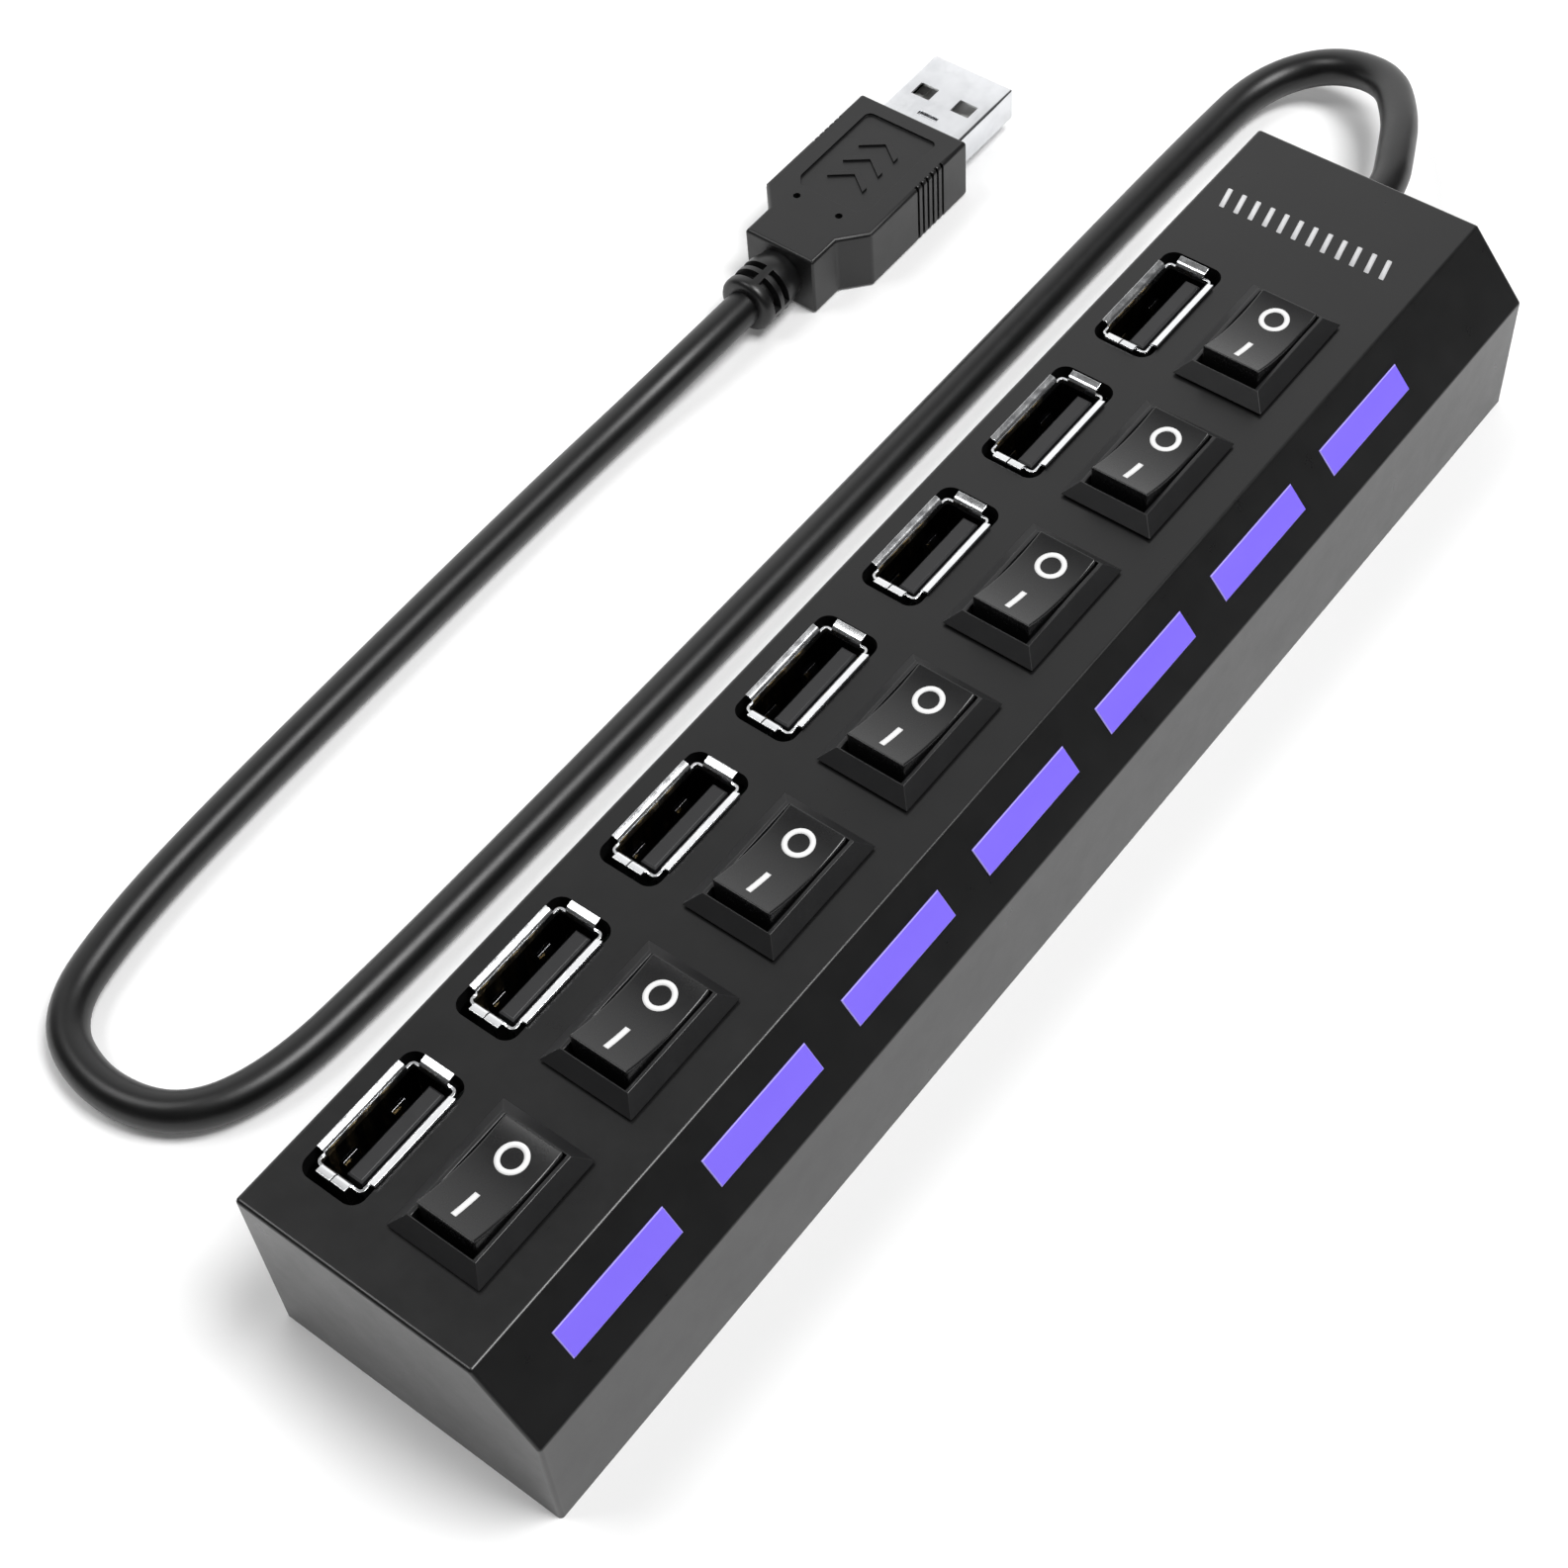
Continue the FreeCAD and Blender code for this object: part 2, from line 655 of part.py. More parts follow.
def switch_x(index):
    """Expression for the middle of a switch."""
    return "switch_first + %d * port_pitch" % index


def switch_body(index):
    """One switch's fixed part: raised bezel with sloped sides, box body, trunnion bearings."""
    tag = str(index + 1)
    x, y = "(%s)" % switch_x(index), "switch_row"
    bezel = frustum("bezel", (x + " - bezel_half_length", x + " + bezel_half_length",
                              y + " - bezel_half_width", y + " + bezel_half_width"),
                    (x + " - bezel_top_half_length", x + " + bezel_top_half_length",
                     y + " - bezel_top_half_width", y + " + bezel_top_half_width"),
                    "housing_height", "housing_height + bezel_height")
    case = box("switch_case", ("2 * switch_half_length", "2 * switch_half_width",
                               "housing_height + 0.2 - switch_bottom"), (x, y), "switch_bottom")
    opening = box("switch_opening", ("2 * opening_half_length", "2 * opening_half_width",
                                     "housing_height + bezel_height + 1 - opening_bottom"), (x, y),
                  "opening_bottom")
    bearing = cylinder("bearing", "trunnion_hole_radius", "2 * trunnion_hole_half_span",
                       (x, y + " - trunnion_hole_half_span", "housing_height"), "y")
    solid = fuse("switch_solid_" + tag, [bezel, case])
    space = fuse("switch_space_" + tag, [opening, bearing])
    return node(cut("switch_" + tag, solid, space), "switch_body_" + tag)


def rocker(index):
    """One rocker: dished top, tapered ends, two trunnions; it rests with the O end pressed."""
    tag = str(index + 1)
    body = new_body("rocker_body_" + tag)
    profile = new_sketch(body, "rocker_profile_" + tag, "XZ_Plane")
    waist = "rocker_half_length - rocker_taper"
    corners = [("-rocker_half_length", "rocker_crown"), ("-(%s)" % waist, "rocker_waist"),
               ("-rocker_foot", "rocker_bottom"), ("rocker_foot", "rocker_bottom"),
               (waist, "rocker_waist"), ("rocker_half_length", "rocker_crown")]
    half, crown = SIZES["rocker_half_length"], SIZES["rocker_crown"]
    sink = SIZES["rocker_dish"] - math.sqrt(SIZES["rocker_dish"] ** 2 - half ** 2)
    start = [VECTOR(-half, crown, 0), VECTOR(-half + 1, -1, 0), VECTOR(-2, -3, 0), VECTOR(2, -3, 0),
             VECTOR(half - 1, -1, 0), VECTOR(half, crown, 0)]
    for step in range(5):
        profile.addGeometry(Part.LineSegment(start[step], start[step + 1]), False)
    dish = profile.addGeometry(Part.Arc(start[0], VECTOR(0, crown - sink, 0), start[5]), False)
    for step in range(4):
        profile.addConstraint(Sketcher.Constraint("Coincident", step, 2, step + 1, 1))
    profile.addConstraint(Sketcher.Constraint("Coincident", dish, 1, 0, 1))
    profile.addConstraint(Sketcher.Constraint("Coincident", dish, 2, 4, 2))
    for step in range(5):
        fix_point(profile, step, 1, *corners[step])
    fix_point(profile, 4, 2, *corners[5])
    size = profile.addConstraint(Sketcher.Constraint("Radius", dish, SIZES["rocker_dish"]))
    bind(profile, "Constraints[%d]" % size, "rocker_dish")
    block = pad(body, "rocker_block_" + tag, profile, "2 * rocker_half_width", midplane=True)
    low_crown = crown - sink - 0.01
    round_edges(body, "rocker_edges_" + tag, block, lambda edge: edge.BoundBox.ZMin > low_crown,
                "rocker_edge")
    pins = new_sketch(body, "trunnion_circle_" + tag, "XZ_Plane")
    circle(pins, 0, 0, "trunnion_radius")
    pad(body, "trunnions_" + tag, pins, "2 * trunnion_half_span", midplane=True)
    body.Placement.Rotation = FreeCAD.Rotation(VECTOR(0, 1, 0), SIZES["rocker_tilt"])
    bind(body, "Placement.Rotation.Angle", "rocker_tilt")
    bind_place(body, switch_x(index), "switch_row", "housing_height")
    return node(body, "rocker_" + tag)


def switch_terminals():
    """Three flat terminals under each switch, through the board."""
    blades = []
    for index in range(PORT_COUNT):
        for step in (-1, 0, 1):
            size = ("terminal_width", "terminal_thickness", "switch_bottom - terminal_bottom")
            place = ("%s + %d * terminal_spacing" % (switch_x(index), step), "switch_row")
            blades.append(box("terminal", size, place, "terminal_bottom"))
    return node(group("terminals", blades), "switch_terminals")


def window_x(index):
    """Expression for the middle of a light window."""
    return "window_first + %d * port_pitch" % index


def light_window(index):
    """One window: a flat plate in the slope with a flange behind the wall."""
    tag = str(index + 1)
    plate = box("window_plate", ("2 * window_half_length", "2 * window_half_width",
                                 "housing_wall + window_rise"), (0, 0), "-housing_wall")
    flange = box("window_flange", ("2 * (window_half_length + window_flange)",
                                   "2 * (window_half_width + window_flange)", "window_flange_thickness"),
                 (0, 0), "-housing_wall - window_flange_thickness")
    window = fuse("window_" + tag, [plate, flange])
    window.Placement.Rotation = FreeCAD.Rotation(VECTOR(1, 0, 0), 45)
    bind(window, "Placement.Rotation.Angle", "atan(slope_drop / slope_run)")
    bind_place(window, window_x(index), "-housing_width / 2 + slope_run / 2",
               "housing_height - slope_drop / 2")
    return node(window, "light_window_" + tag)


def board_parts():
    """The parts soldered to the board, one group for each kind."""
    top = "board_bottom + board_thickness"
    leds = [box("led", ("led_length", "led_width", "led_height"), (window_x(index), "led_row"), top)
            for index in range(PORT_COUNT)]
    node(group("leds", leds), "indicator_leds")
    chips = [box("chip", ("chip_length", "chip_width", "chip_height"), (x, "chip_row"), top)
             for x in CHIP_PLACES]
    node(group("chips", chips), "hub_controllers")
    node(box("crystal_can", ("crystal_length", "crystal_width", "crystal_height"),
             ("crystal_place", "crystal_row"), top), "crystal")
    capacitors = [cylinder("capacitor", "capacitor_radius", "capacitor_height", (x, y, top))
                  for x, y in CAPACITOR_PLACES]
    node(group("capacitor_set", capacitors), "capacitors")
    resistors = [box("resistor", ("resistor_length", "resistor_width", "resistor_height"),
                     ("%s + resistor_offset" % window_x(index), "resistor_row"), top)
                 for index in range(PORT_COUNT)]
    node(group("resistor_set", resistors), "led_resistors")


def grommet():
    """The rubber strain relief in the end wall: inner flange, neck and a short tapered sleeve."""
    wall = "(housing_length / 2 - housing_wall)"
    start = ("exit_row", "exit_height")
    flange = cylinder("grommet_flange", "grommet_flange_radius", "grommet_flange_thickness",
                      (wall + " - grommet_flange_thickness",) + start, "x")
    neck = cylinder("grommet_neck", "grommet_neck_radius", "housing_wall + 1",
                    (wall + " - 0.5",) + start, "x")
    sleeve = document.addObject("Part::Cone", "grommet_sleeve")
    sleeve.Placement.Rotation = FreeCAD.Rotation(VECTOR(0, 1, 0), 90)
    bind(sleeve, "Radius1", "grommet_sleeve_radius")
    bind(sleeve, "Radius2", "grommet_tip_radius")
    bind(sleeve, "Height", "grommet_sleeve_length")
    bind_place(sleeve, "housing_length / 2", *start)
    return node(fuse("grommet", [flange, neck, sleeve]), "cord_grommet")


def arc_path(points):
    """Straight runs joined by tangent arcs, as one wire, with its length and the arcs' radii."""
    corners = [VECTOR(*point) for point in points]
    edges, radii = [], []
    start = corners[0]
    for before, corner, after in zip(corners, corners[1:], corners[2:]):
        back, ahead = before - corner, after - corner
        share = ARC_SHARE * min(back.Length, ahead.Length)
        radii.append(share / math.tan((math.pi - back.getAngle(ahead)) / 2))
        back.normalize()
        ahead.normalize()
        entry, leave = corner + back * share, corner + ahead * share
        inward = (back + ahead).normalize()
        to_centre = math.hypot(radii[-1], share)
        middle = corner + inward * (to_centre - radii[-1])
        edges.append(Part.LineSegment(start, entry).toShape())
        edges.append(Part.Arc(entry, middle, leave).toShape())
        start = leave
    edges.append(Part.LineSegment(start, corners[-1]).toShape())
    return Part.Wire(edges), radii


def cord():
    """The round cord, swept along its route; read from the sheet because a sweep path is a wire."""
    radius = sheet.get("cord_radius")
    path, radii = arc_path(CORD_ROUTE)
    first = VECTOR(*CORD_ROUTE[0])
    heading = (VECTOR(*CORD_ROUTE[1]) - first).normalize()
    ring = Part.Wire(Part.makeCircle(radius, first, heading))
    feature = document.addObject("Part::Feature", "cord_tube")
    feature.Shape = path.makePipeShell([ring], True, False)
    expected = math.pi * radius ** 2 * path.Length
    print("cord length %.1f mm" % path.Length)
    print("cord arc radii " + " ".join("%.1f" % value for value in radii))
    print("cord volume %.1f, section times length %.1f" % (feature.Shape.Volume, expected))
    assert abs(feature.Shape.Volume / expected - 1) < 0.01
    return node(feature, "cord")


def cord_wires():
    """Four wires from the grommet's flange in over the board."""
    start_x = "housing_length / 2 - housing_wall - grommet_flange_thickness - wire_length"
    wires = []
    for step in range(WIRE_COUNT):
        y = "exit_row + wire_first + %d * wire_pitch" % step
        wires.append(cylinder("wire", "wire_radius", "wire_length", (start_x, y, "exit_height"), "x"))
    return node(group("wires", wires), "cord_wires")


def plug_grip():
    """The moulded grip: narrow tail, shoulders, sunk panel on top, grooves in both sides."""
    body = new_body("grip_body")
    plan = new_sketch(body, "grip_plan", "XY_Plane")
    near_side = [(0, "-grip_tail_half_width"), ("grip_tail_length", "-grip_tail_half_width"),
                 ("grip_shoulder", "-grip_half_width"), ("grip_length", "-grip_half_width")]
    far_side = [(x, str(y).lstrip("-")) for x, y in reversed(near_side)]
    outline(plan, near_side + far_side)
    block = pad(body, "grip_block", plan, "grip_thickness")
    round_edges(body, "grip_edges", block, lambda edge: True, "grip_edge")
    panel = new_sketch(body, "grip_panel", "XY_Plane")
    bind(panel, "AttachmentOffset.Base.z", "grip_thickness")
    outline(panel, [("panel_start + panel_corner", "-panel_half_width"),
                    ("panel_end", "-panel_half_width"), ("panel_end", "panel_half_width"),
                    ("panel_start + panel_corner", "panel_half_width"),
                    ("panel_start", "panel_tail_half_width"), ("panel_start", "-panel_tail_half_width")])
    pocket(body, "panel_recess", panel, "panel_depth")
    groove = new_sketch(body, "grip_groove", "XY_Plane")
    for side in (-1, 1):
        floor, beyond = "%d * (grip_half_width - groove_depth)" % side, "%d * (grip_half_width + 1)" % side
        span = (beyond, floor) if side < 0 else (floor, beyond)
        rectangle(groove, "groove_start", "groove_start + groove_width", *span)
    groove_cut = pocket(body, "groove_cut", groove, "grip_thickness", flipped=True)
    repeat(body, "grooves", groove_cut, groove, "groove_pitch", GROOVE_COUNT)
    bind_place(body, "plug_tail", "plug_row", "plug_height - grip_thickness / 2")
    return node(body, "plug_grip")


def plug_relief():
    """The plug's ribbed strain relief."""
    start = "plug_tail - relief_length"
    middle = ("plug_row", "plug_height")
    core = cylinder("relief_core", "relief_core_radius", "relief_length", (start,) + middle, "x")
    rings = []
    for step in range(RING_COUNT):
        place = ("%s + %d * relief_ring_pitch" % (start, step),) + middle
        rings.append(cylinder("relief_ring", "relief_ring_radius", "relief_ring_thickness", place, "x"))
    return node(fuse("relief", [core] + rings), "plug_relief")


def plug_shell():
    """The plug's steel shell with two square latch holes above and two below."""
    body = new_body("plug_shell_body")
    section = new_sketch(body, "plug_section", "YZ_Plane")
    rounded_rectangle(section, "plug_shell_half_width", "plug_shell_half_height", "plug_shell_corner")
    rounded_rectangle(section, "plug_shell_half_width", "plug_shell_half_height", "plug_shell_corner",
                      "plug_sheet")
    pad(body, "plug_walls", section, "plug_shell_length")
    holes = new_sketch(body, "latch_holes", "XY_Plane")
    for side in (-1, 1):
        rectangle(holes, "latch_hole_near", "latch_hole_near + latch_hole_length",
                  "%d * latch_hole_offset - latch_hole_width / 2" % side,
                  "%d * latch_hole_offset + latch_hole_width / 2" % side)
    pocket(body, "latch_hole_cut", holes, "4 * plug_shell_half_height", midplane=True)
    bind_place(body, "plug_tail + grip_length", "plug_row", "plug_height")
    return node(body, "plug_shell")


def plug_tongue():
    """The plug's plastic insert in the lower half of its shell, and the contacts on it."""
    start = "plug_tail + grip_length"
    floor = "plug_height - plug_shell_half_height + plug_sheet + 0.05"
    node(box("plug_insert", ("plug_tongue_length", "2 * plug_tongue_half_width", "plug_tongue_thickness"),
             (start + " + plug_tongue_length / 2", "plug_row"), floor), "plug_tongue")
    strips = [box("plug_strip", ("plug_contact_length", "contact_width", "contact_thickness"),
                  ("%s + plug_contact_start + plug_contact_length / 2" % start, "plug_row + (%s)" % place),
                  floor + " + plug_tongue_thickness")
              for place in ("-contact_outer", "-contact_inner", "contact_inner", "contact_outer")]
    node(group("plug_strips", strips), "plug_contacts")


def write_nodes():
    """Check every object of the document and write each sub-part to its own STEP file."""
    document.recompute()
    for item in document.Objects:
        assert not {"Invalid", "Error"} & set(item.State), item.Name + " failed"
    os.makedirs("parts", exist_ok=True)
    for item in nodes:
        assert not item.Shape.isNull() and item.Shape.isValid(), item.Label + " has no valid shape"
        item.Shape.exportStep("parts/%s.step" % item.Label)
        print("%-20s %2d solids %9.1f mm3" % (item.Label, len(item.Shape.Solids), item.Shape.Volume))


top_cover()
bottom_cover()
case_screws()
main_board()
for number in range(PORT_COUNT):
    usb_shell(number)
    usb_tongue(number)
    switch_body(number)
    rocker(number)
    light_window(number)
usb_contacts()
switch_terminals()
board_parts()
grommet()
cord()
cord_wires()
plug_grip()
plug_relief()
plug_shell()
plug_tongue()
write_nodes()
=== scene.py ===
"""Looks of a seven-port USB hub with rocker switches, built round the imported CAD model.

Lengths in the piece-building code are millimetres in the row frame; `metres` turns them into metres.
"""

import json
import math

import bmesh
import bpy
from mathutils import Matrix, Vector


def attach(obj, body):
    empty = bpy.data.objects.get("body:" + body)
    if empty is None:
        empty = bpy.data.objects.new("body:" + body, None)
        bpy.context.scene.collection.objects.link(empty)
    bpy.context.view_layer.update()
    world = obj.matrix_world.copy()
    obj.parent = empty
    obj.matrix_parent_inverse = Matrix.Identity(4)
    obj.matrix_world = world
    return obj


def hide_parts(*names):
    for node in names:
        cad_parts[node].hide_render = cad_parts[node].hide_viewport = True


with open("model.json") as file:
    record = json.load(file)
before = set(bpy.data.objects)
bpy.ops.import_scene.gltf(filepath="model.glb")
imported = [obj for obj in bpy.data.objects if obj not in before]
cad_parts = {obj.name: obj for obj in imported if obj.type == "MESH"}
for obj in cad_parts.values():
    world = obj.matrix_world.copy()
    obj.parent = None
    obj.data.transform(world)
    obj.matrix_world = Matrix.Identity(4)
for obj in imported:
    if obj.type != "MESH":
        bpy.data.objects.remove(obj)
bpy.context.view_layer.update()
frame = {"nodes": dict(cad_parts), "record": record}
nodes = frame["nodes"]

PORTS = 7
PITCH = 20.98
HEIGHT = 23.6
FRONT_Y = -17.5
SLOPE_RUN = 6.7
SLOPE_DROP = 8.0
PORT_X = [-71.1 + PITCH * step for step in range(PORTS)]
PORT_Y = 11.4
SWITCH_X = [-70.82 + PITCH * step for step in range(PORTS)]
SWITCH_Y = -1.1
WINDOW_X = [-69.48 + PITCH * step for step in range(PORTS)]


def metres(*values):
    """Millimetres as a vector in metres."""
    return Vector(values) * 0.001


# ---------------------------------------------------------------- camera

def make_camera():
    """The camera at the product picture's angle: over the near end, looking along the hub."""
    data = bpy.data.cameras.new("camera")
    data.lens = 64.82
    data.sensor_width = 36.0
    data.shift_x = 0.0211
    data.shift_y = 0.0577
    data.clip_start = 0.01
    camera = bpy.data.objects.new("camera", data)
    bpy.context.scene.collection.objects.link(camera)
    forward = Vector((0.4102, 0.3904, -0.8242)).normalized()
    right = Vector((0.6149, -0.7858, -0.0662))
    right = (right - forward * right.dot(forward)).normalized()
    up = right.cross(forward)
    turn = Matrix((right, up, -forward)).transposed().to_4x4()
    camera.matrix_world = Matrix.Translation((-0.14064, -0.10379, 0.24550)) @ turn
    bpy.context.scene.camera = camera


# ---------------------------------------------------------------- materials

class Surface:
    """A procedural material built on the Principled shader, in the piece's own coordinates."""

    def __init__(self, name, settings):
        self.material = bpy.data.materials.new(name)
        self.material.use_nodes = True
        self.tree = self.material.node_tree
        self.shader = self.tree.nodes["Principled BSDF"]
        for key, value in settings.items():
            self.shader.inputs[key.replace("_", " ")].default_value = value
        self.place = self.add("ShaderNodeTexCoord").outputs["Object"]

    def add(self, kind, **values):
        """A new node with these input values."""
        made = self.tree.nodes.new(kind)
        for key, value in values.items():
            made.inputs[key.replace("_", " ")].default_value = value
        return made

    def noise(self, vector, scale, detail, roughness):
        """The value of a noise texture over a vector."""
        texture = self.add("ShaderNodeTexNoise", Scale=scale, Detail=detail, Roughness=roughness)
        self.tree.links.new(vector, texture.inputs["Vector"])
        return texture.outputs["Fac"]

    def tint(self, value, dark, light, low, high):
        """Base colour from dark to light as a value goes from low to high."""
        ramp = self.add("ShaderNodeValToRGB")
        for element, position, colour in zip(ramp.color_ramp.elements, (low, high), (dark, light)):
            element.position = position
            element.color = (*colour, 1)
        self.tree.links.new(value, ramp.inputs["Fac"])
        self.tree.links.new(ramp.outputs["Color"], self.shader.inputs["Base Color"])

    def gloss(self, value, rough):
        """Roughness that varies between a pair of values."""
        spread = self.add("ShaderNodeMapRange", From_Min=0.3, From_Max=0.7, To_Min=rough[0],
                          To_Max=rough[1])
        self.tree.links.new(value, spread.inputs["Value"])
        self.tree.links.new(spread.outputs["Result"], self.shader.inputs["Roughness"])

    def relief(self, value, bump):
        """Fine relief, bump millimetres high."""
        raised = self.add("ShaderNodeBump", Strength=1.0, Distance=bump * 0.001)
        self.tree.links.new(value, raised.inputs["Height"])
        self.tree.links.new(raised.outputs["Normal"], self.shader.inputs["Normal"])


def plastic(name, dark, light, rough, grain, bump, patch=90.0, **shader):
    """Moulded material: two close colours in soft patches, uneven gloss, and a fine raised grain.

    rough is a pair of roughness values, grain the number of grains in a metre, bump the relief in mm.
    """
    surface = Surface(name, shader)
    surface.tint(surface.noise(surface.place, patch, 4.0, 0.6), dark, light, 0.35, 0.68)
    surface.gloss(surface.noise(surface.place, patch * 2.7, 6.0, 0.7), rough)
    surface.relief(surface.noise(surface.place, grain, 3.0, 0.55), bump)
    return surface.material


def metal(name, dark, light, rough, stretch, bump):
    """Rolled or plated sheet metal: fine streaks along one axis and slight stains."""
    surface = Surface(name, {"Metallic": 1.0})
    squeeze = surface.add("ShaderNodeMapping", Scale=stretch)
    surface.tree.links.new(surface.place, squeeze.inputs["Vector"])
    streaks = surface.noise(squeeze.outputs["Vector"], 900.0, 5.0, 0.65)
    surface.tint(surface.noise(surface.place, 260.0, 4.0, 0.6), dark, light, 0.3, 0.6)
    surface.gloss(streaks, rough)
    surface.relief(streaks, bump)
    return surface.material


def make_materials():
    """Every material of the hub, by the record's slot name or by what it is."""
    return {
        "housing": plastic("housing_plastic", (0.0054, 0.0054, 0.0056), (0.0068, 0.0068, 0.0070),
                           (0.27, 0.33), 5200.0, 0.004),
        "base": plastic("base_plastic", (0.014, 0.014, 0.0145), (0.019, 0.019, 0.020),
                        (0.45, 0.60), 3200.0, 0.02),
        "switch": plastic("switch_plastic", (0.0120, 0.0120, 0.0125), (0.0140, 0.0140, 0.0146),
                          (0.28, 0.36), 6000.0, 0.005),
        "rocker": plastic("rocker_plastic", (0.0062, 0.0062, 0.0066), (0.0078, 0.0078, 0.0082),
                          (0.24, 0.31), 6500.0, 0.003, Coat_Weight=0.10, Coat_Roughness=0.18),
        "mark": plastic("mark_ink", (0.80, 0.80, 0.80), (0.88, 0.88, 0.88), (0.42, 0.55), 8000.0, 0.004),
        "print": plastic("print_ink", (0.60, 0.60, 0.61), (0.70, 0.70, 0.71), (0.40, 0.55), 8000.0, 0.004),
        "steel": metal("nickel_sheet", (0.72, 0.73, 0.75), (0.84, 0.85, 0.86), (0.16, 0.30),
                       (1.0, 1.0, 0.08), 0.004),
        # Darker copy of the nickel sheet: painted shade on the inside faces of the port and plug shells.
        "painted_shade_steel": metal("painted_shade_sheet", (0.15, 0.15, 0.155), (0.21, 0.21, 0.22), (0.10, 0.18),
                             (1.0, 1.0, 0.08), 0.004),
        "plug_steel": metal("plug_sheet", (0.64, 0.65, 0.67), (0.74, 0.75, 0.77), (0.14, 0.26),
                            (0.08, 1.0, 1.0), 0.003),
        "insulator": plastic("insulator_plastic", (0.013, 0.013, 0.014), (0.017, 0.017, 0.018),
                             (0.34, 0.44), 5000.0, 0.006),
        "gold": metal("gold_plate", (0.78, 0.53, 0.20), (0.90, 0.66, 0.30), (0.18, 0.30),
                      (1.0, 1.0, 0.1), 0.003),
        "window": plastic("window_plastic", (0.225, 0.150, 0.95), (0.235, 0.158, 0.97),
                          (0.34, 0.40), 4000.0, 0.002),
        # Lighter rim colour: a painted highlight along the bevel round each window's top.
        "window_painted_highlight": plastic("window_rim_highlight", (0.45, 0.38, 1.0), (0.50, 0.43, 1.0), (0.20, 0.28), 4000.0,
                               0.003),
        "board": plastic("solder_mask", (0.004, 0.010, 0.006), (0.006, 0.015, 0.009), (0.25, 0.40),
                         2500.0, 0.01),
        "chip": plastic("chip_epoxy", (0.016, 0.016, 0.016), (0.024, 0.024, 0.023), (0.5, 0.62),
                        9000.0, 0.012),
        "can": metal("can_metal", (0.55, 0.56, 0.58), (0.66, 0.67, 0.69), (0.28, 0.42),
                     (1.0, 1.0, 0.2), 0.004),
        "led": plastic("led_resin", (0.72, 0.71, 0.62), (0.82, 0.81, 0.74), (0.25, 0.4), 5000.0, 0.004),
        "screw": metal("zinc_plate", (0.42, 0.43, 0.45), (0.58, 0.59, 0.60), (0.25, 0.42),
                       (1.0, 1.0, 0.3), 0.006),
        "grommet": plastic("grommet_rubber", (0.012, 0.012, 0.0125), (0.017, 0.017, 0.0175),
                           (0.42, 0.55), 4200.0, 0.012),
        "cord": plastic("cord_jacket", (0.0018, 0.0018, 0.0019), (0.0028, 0.0028, 0.0030),
                        (0.34, 0.40), 2600.0, 0.005),
        "wire": plastic("wire_jacket", (0.014, 0.010, 0.010), (0.020, 0.015, 0.015), (0.3, 0.4),
                        4000.0, 0.006),
        "plug": plastic("plug_rubber", (0.0042, 0.0042, 0.0044), (0.0058, 0.0058, 0.0061), (0.34, 0.42),
                        5200.0, 0.005),
        "plug_insert": plastic("insert_plastic", (0.70, 0.70, 0.68), (0.78, 0.78, 0.76), (0.35, 0.5),
                               4000.0, 0.006),
        "terminal": metal("terminal_brass", (0.70, 0.55, 0.28), (0.80, 0.66, 0.38), (0.25, 0.4),
                          (1.0, 1.0, 0.1), 0.004),
    }


# ---------------------------------------------------------------- stage

def make_stage():
    """Plain white floor and a soft studio sky with large lamps."""
    bpy.ops.mesh.primitive_plane_add(size=6.0, location=(0, 0, 0))
    floor = bpy.context.object
    floor.name = "floor"
    floor.data.materials.append(plastic("floor_paper", (0.90, 0.90, 0.90), (0.92, 0.92, 0.92),
                                        (0.75, 0.85), 900.0, 0.01, patch=4.0,
                                        Emission_Color=(1, 1, 1, 1), Emission_Strength=0.1))

    world = bpy.data.worlds.new("studio")
    bpy.context.scene.world = world
    world.use_nodes = True
    tree = world.node_tree
    background = tree.nodes["Background"]
    coordinates = tree.nodes.new("ShaderNodeTexCoord")
    towards = tree.nodes.new("ShaderNodeVectorMath")
    towards.operation = "DOT_PRODUCT"
    towards.inputs[1].default_value = Vector((0.70, 0.70, 0.12)).normalized()
    ramp = tree.nodes.new("ShaderNodeValToRGB")
    tree.links.new(coordinates.outputs["Generated"], towards.inputs[0])
    tree.links.new(towards.outputs["Value"], ramp.inputs["Fac"])
    tree.links.new(ramp.outputs["Color"], background.inputs["Color"])
    ramp.color_ramp.elements[0].position = 0.35
    ramp.color_ramp.elements[0].color = (0.07, 0.07, 0.07, 1)
    ramp.color_ramp.elements[1].position = 1.0
    ramp.color_ramp.elements[1].color = (1.3, 1.3, 1.3, 1)
    for place, level in ((0.57, 0.13), (0.74, 0.98)):
        ramp.color_ramp.elements.new(place).color = (level, level, level, 1)
    background.inputs["Strength"].default_value = 1.0

    lamps = [
        ("lamp_over", (0.16, -0.34, 0.94), 0.42, 0.42, 9.0),
        ("lamp_side", (-0.30, 0.46, 0.93), 0.40, 0.40, 3.0),
    ]
    for name, place, size_x, size_y, power in lamps:
        data = bpy.data.lights.new(name, "AREA")
        data.shape = "RECTANGLE"
        data.size = size_x
        data.size_y = size_y
        data.energy = power
        lamp = bpy.data.objects.new(name, data)
        bpy.context.scene.collection.objects.link(lamp)
        lamp.location = place
        lamp.rotation_euler = (-Vector(place)).to_track_quat("-Z", "Y").to_euler()


# ---------------------------------------------------------------- cord

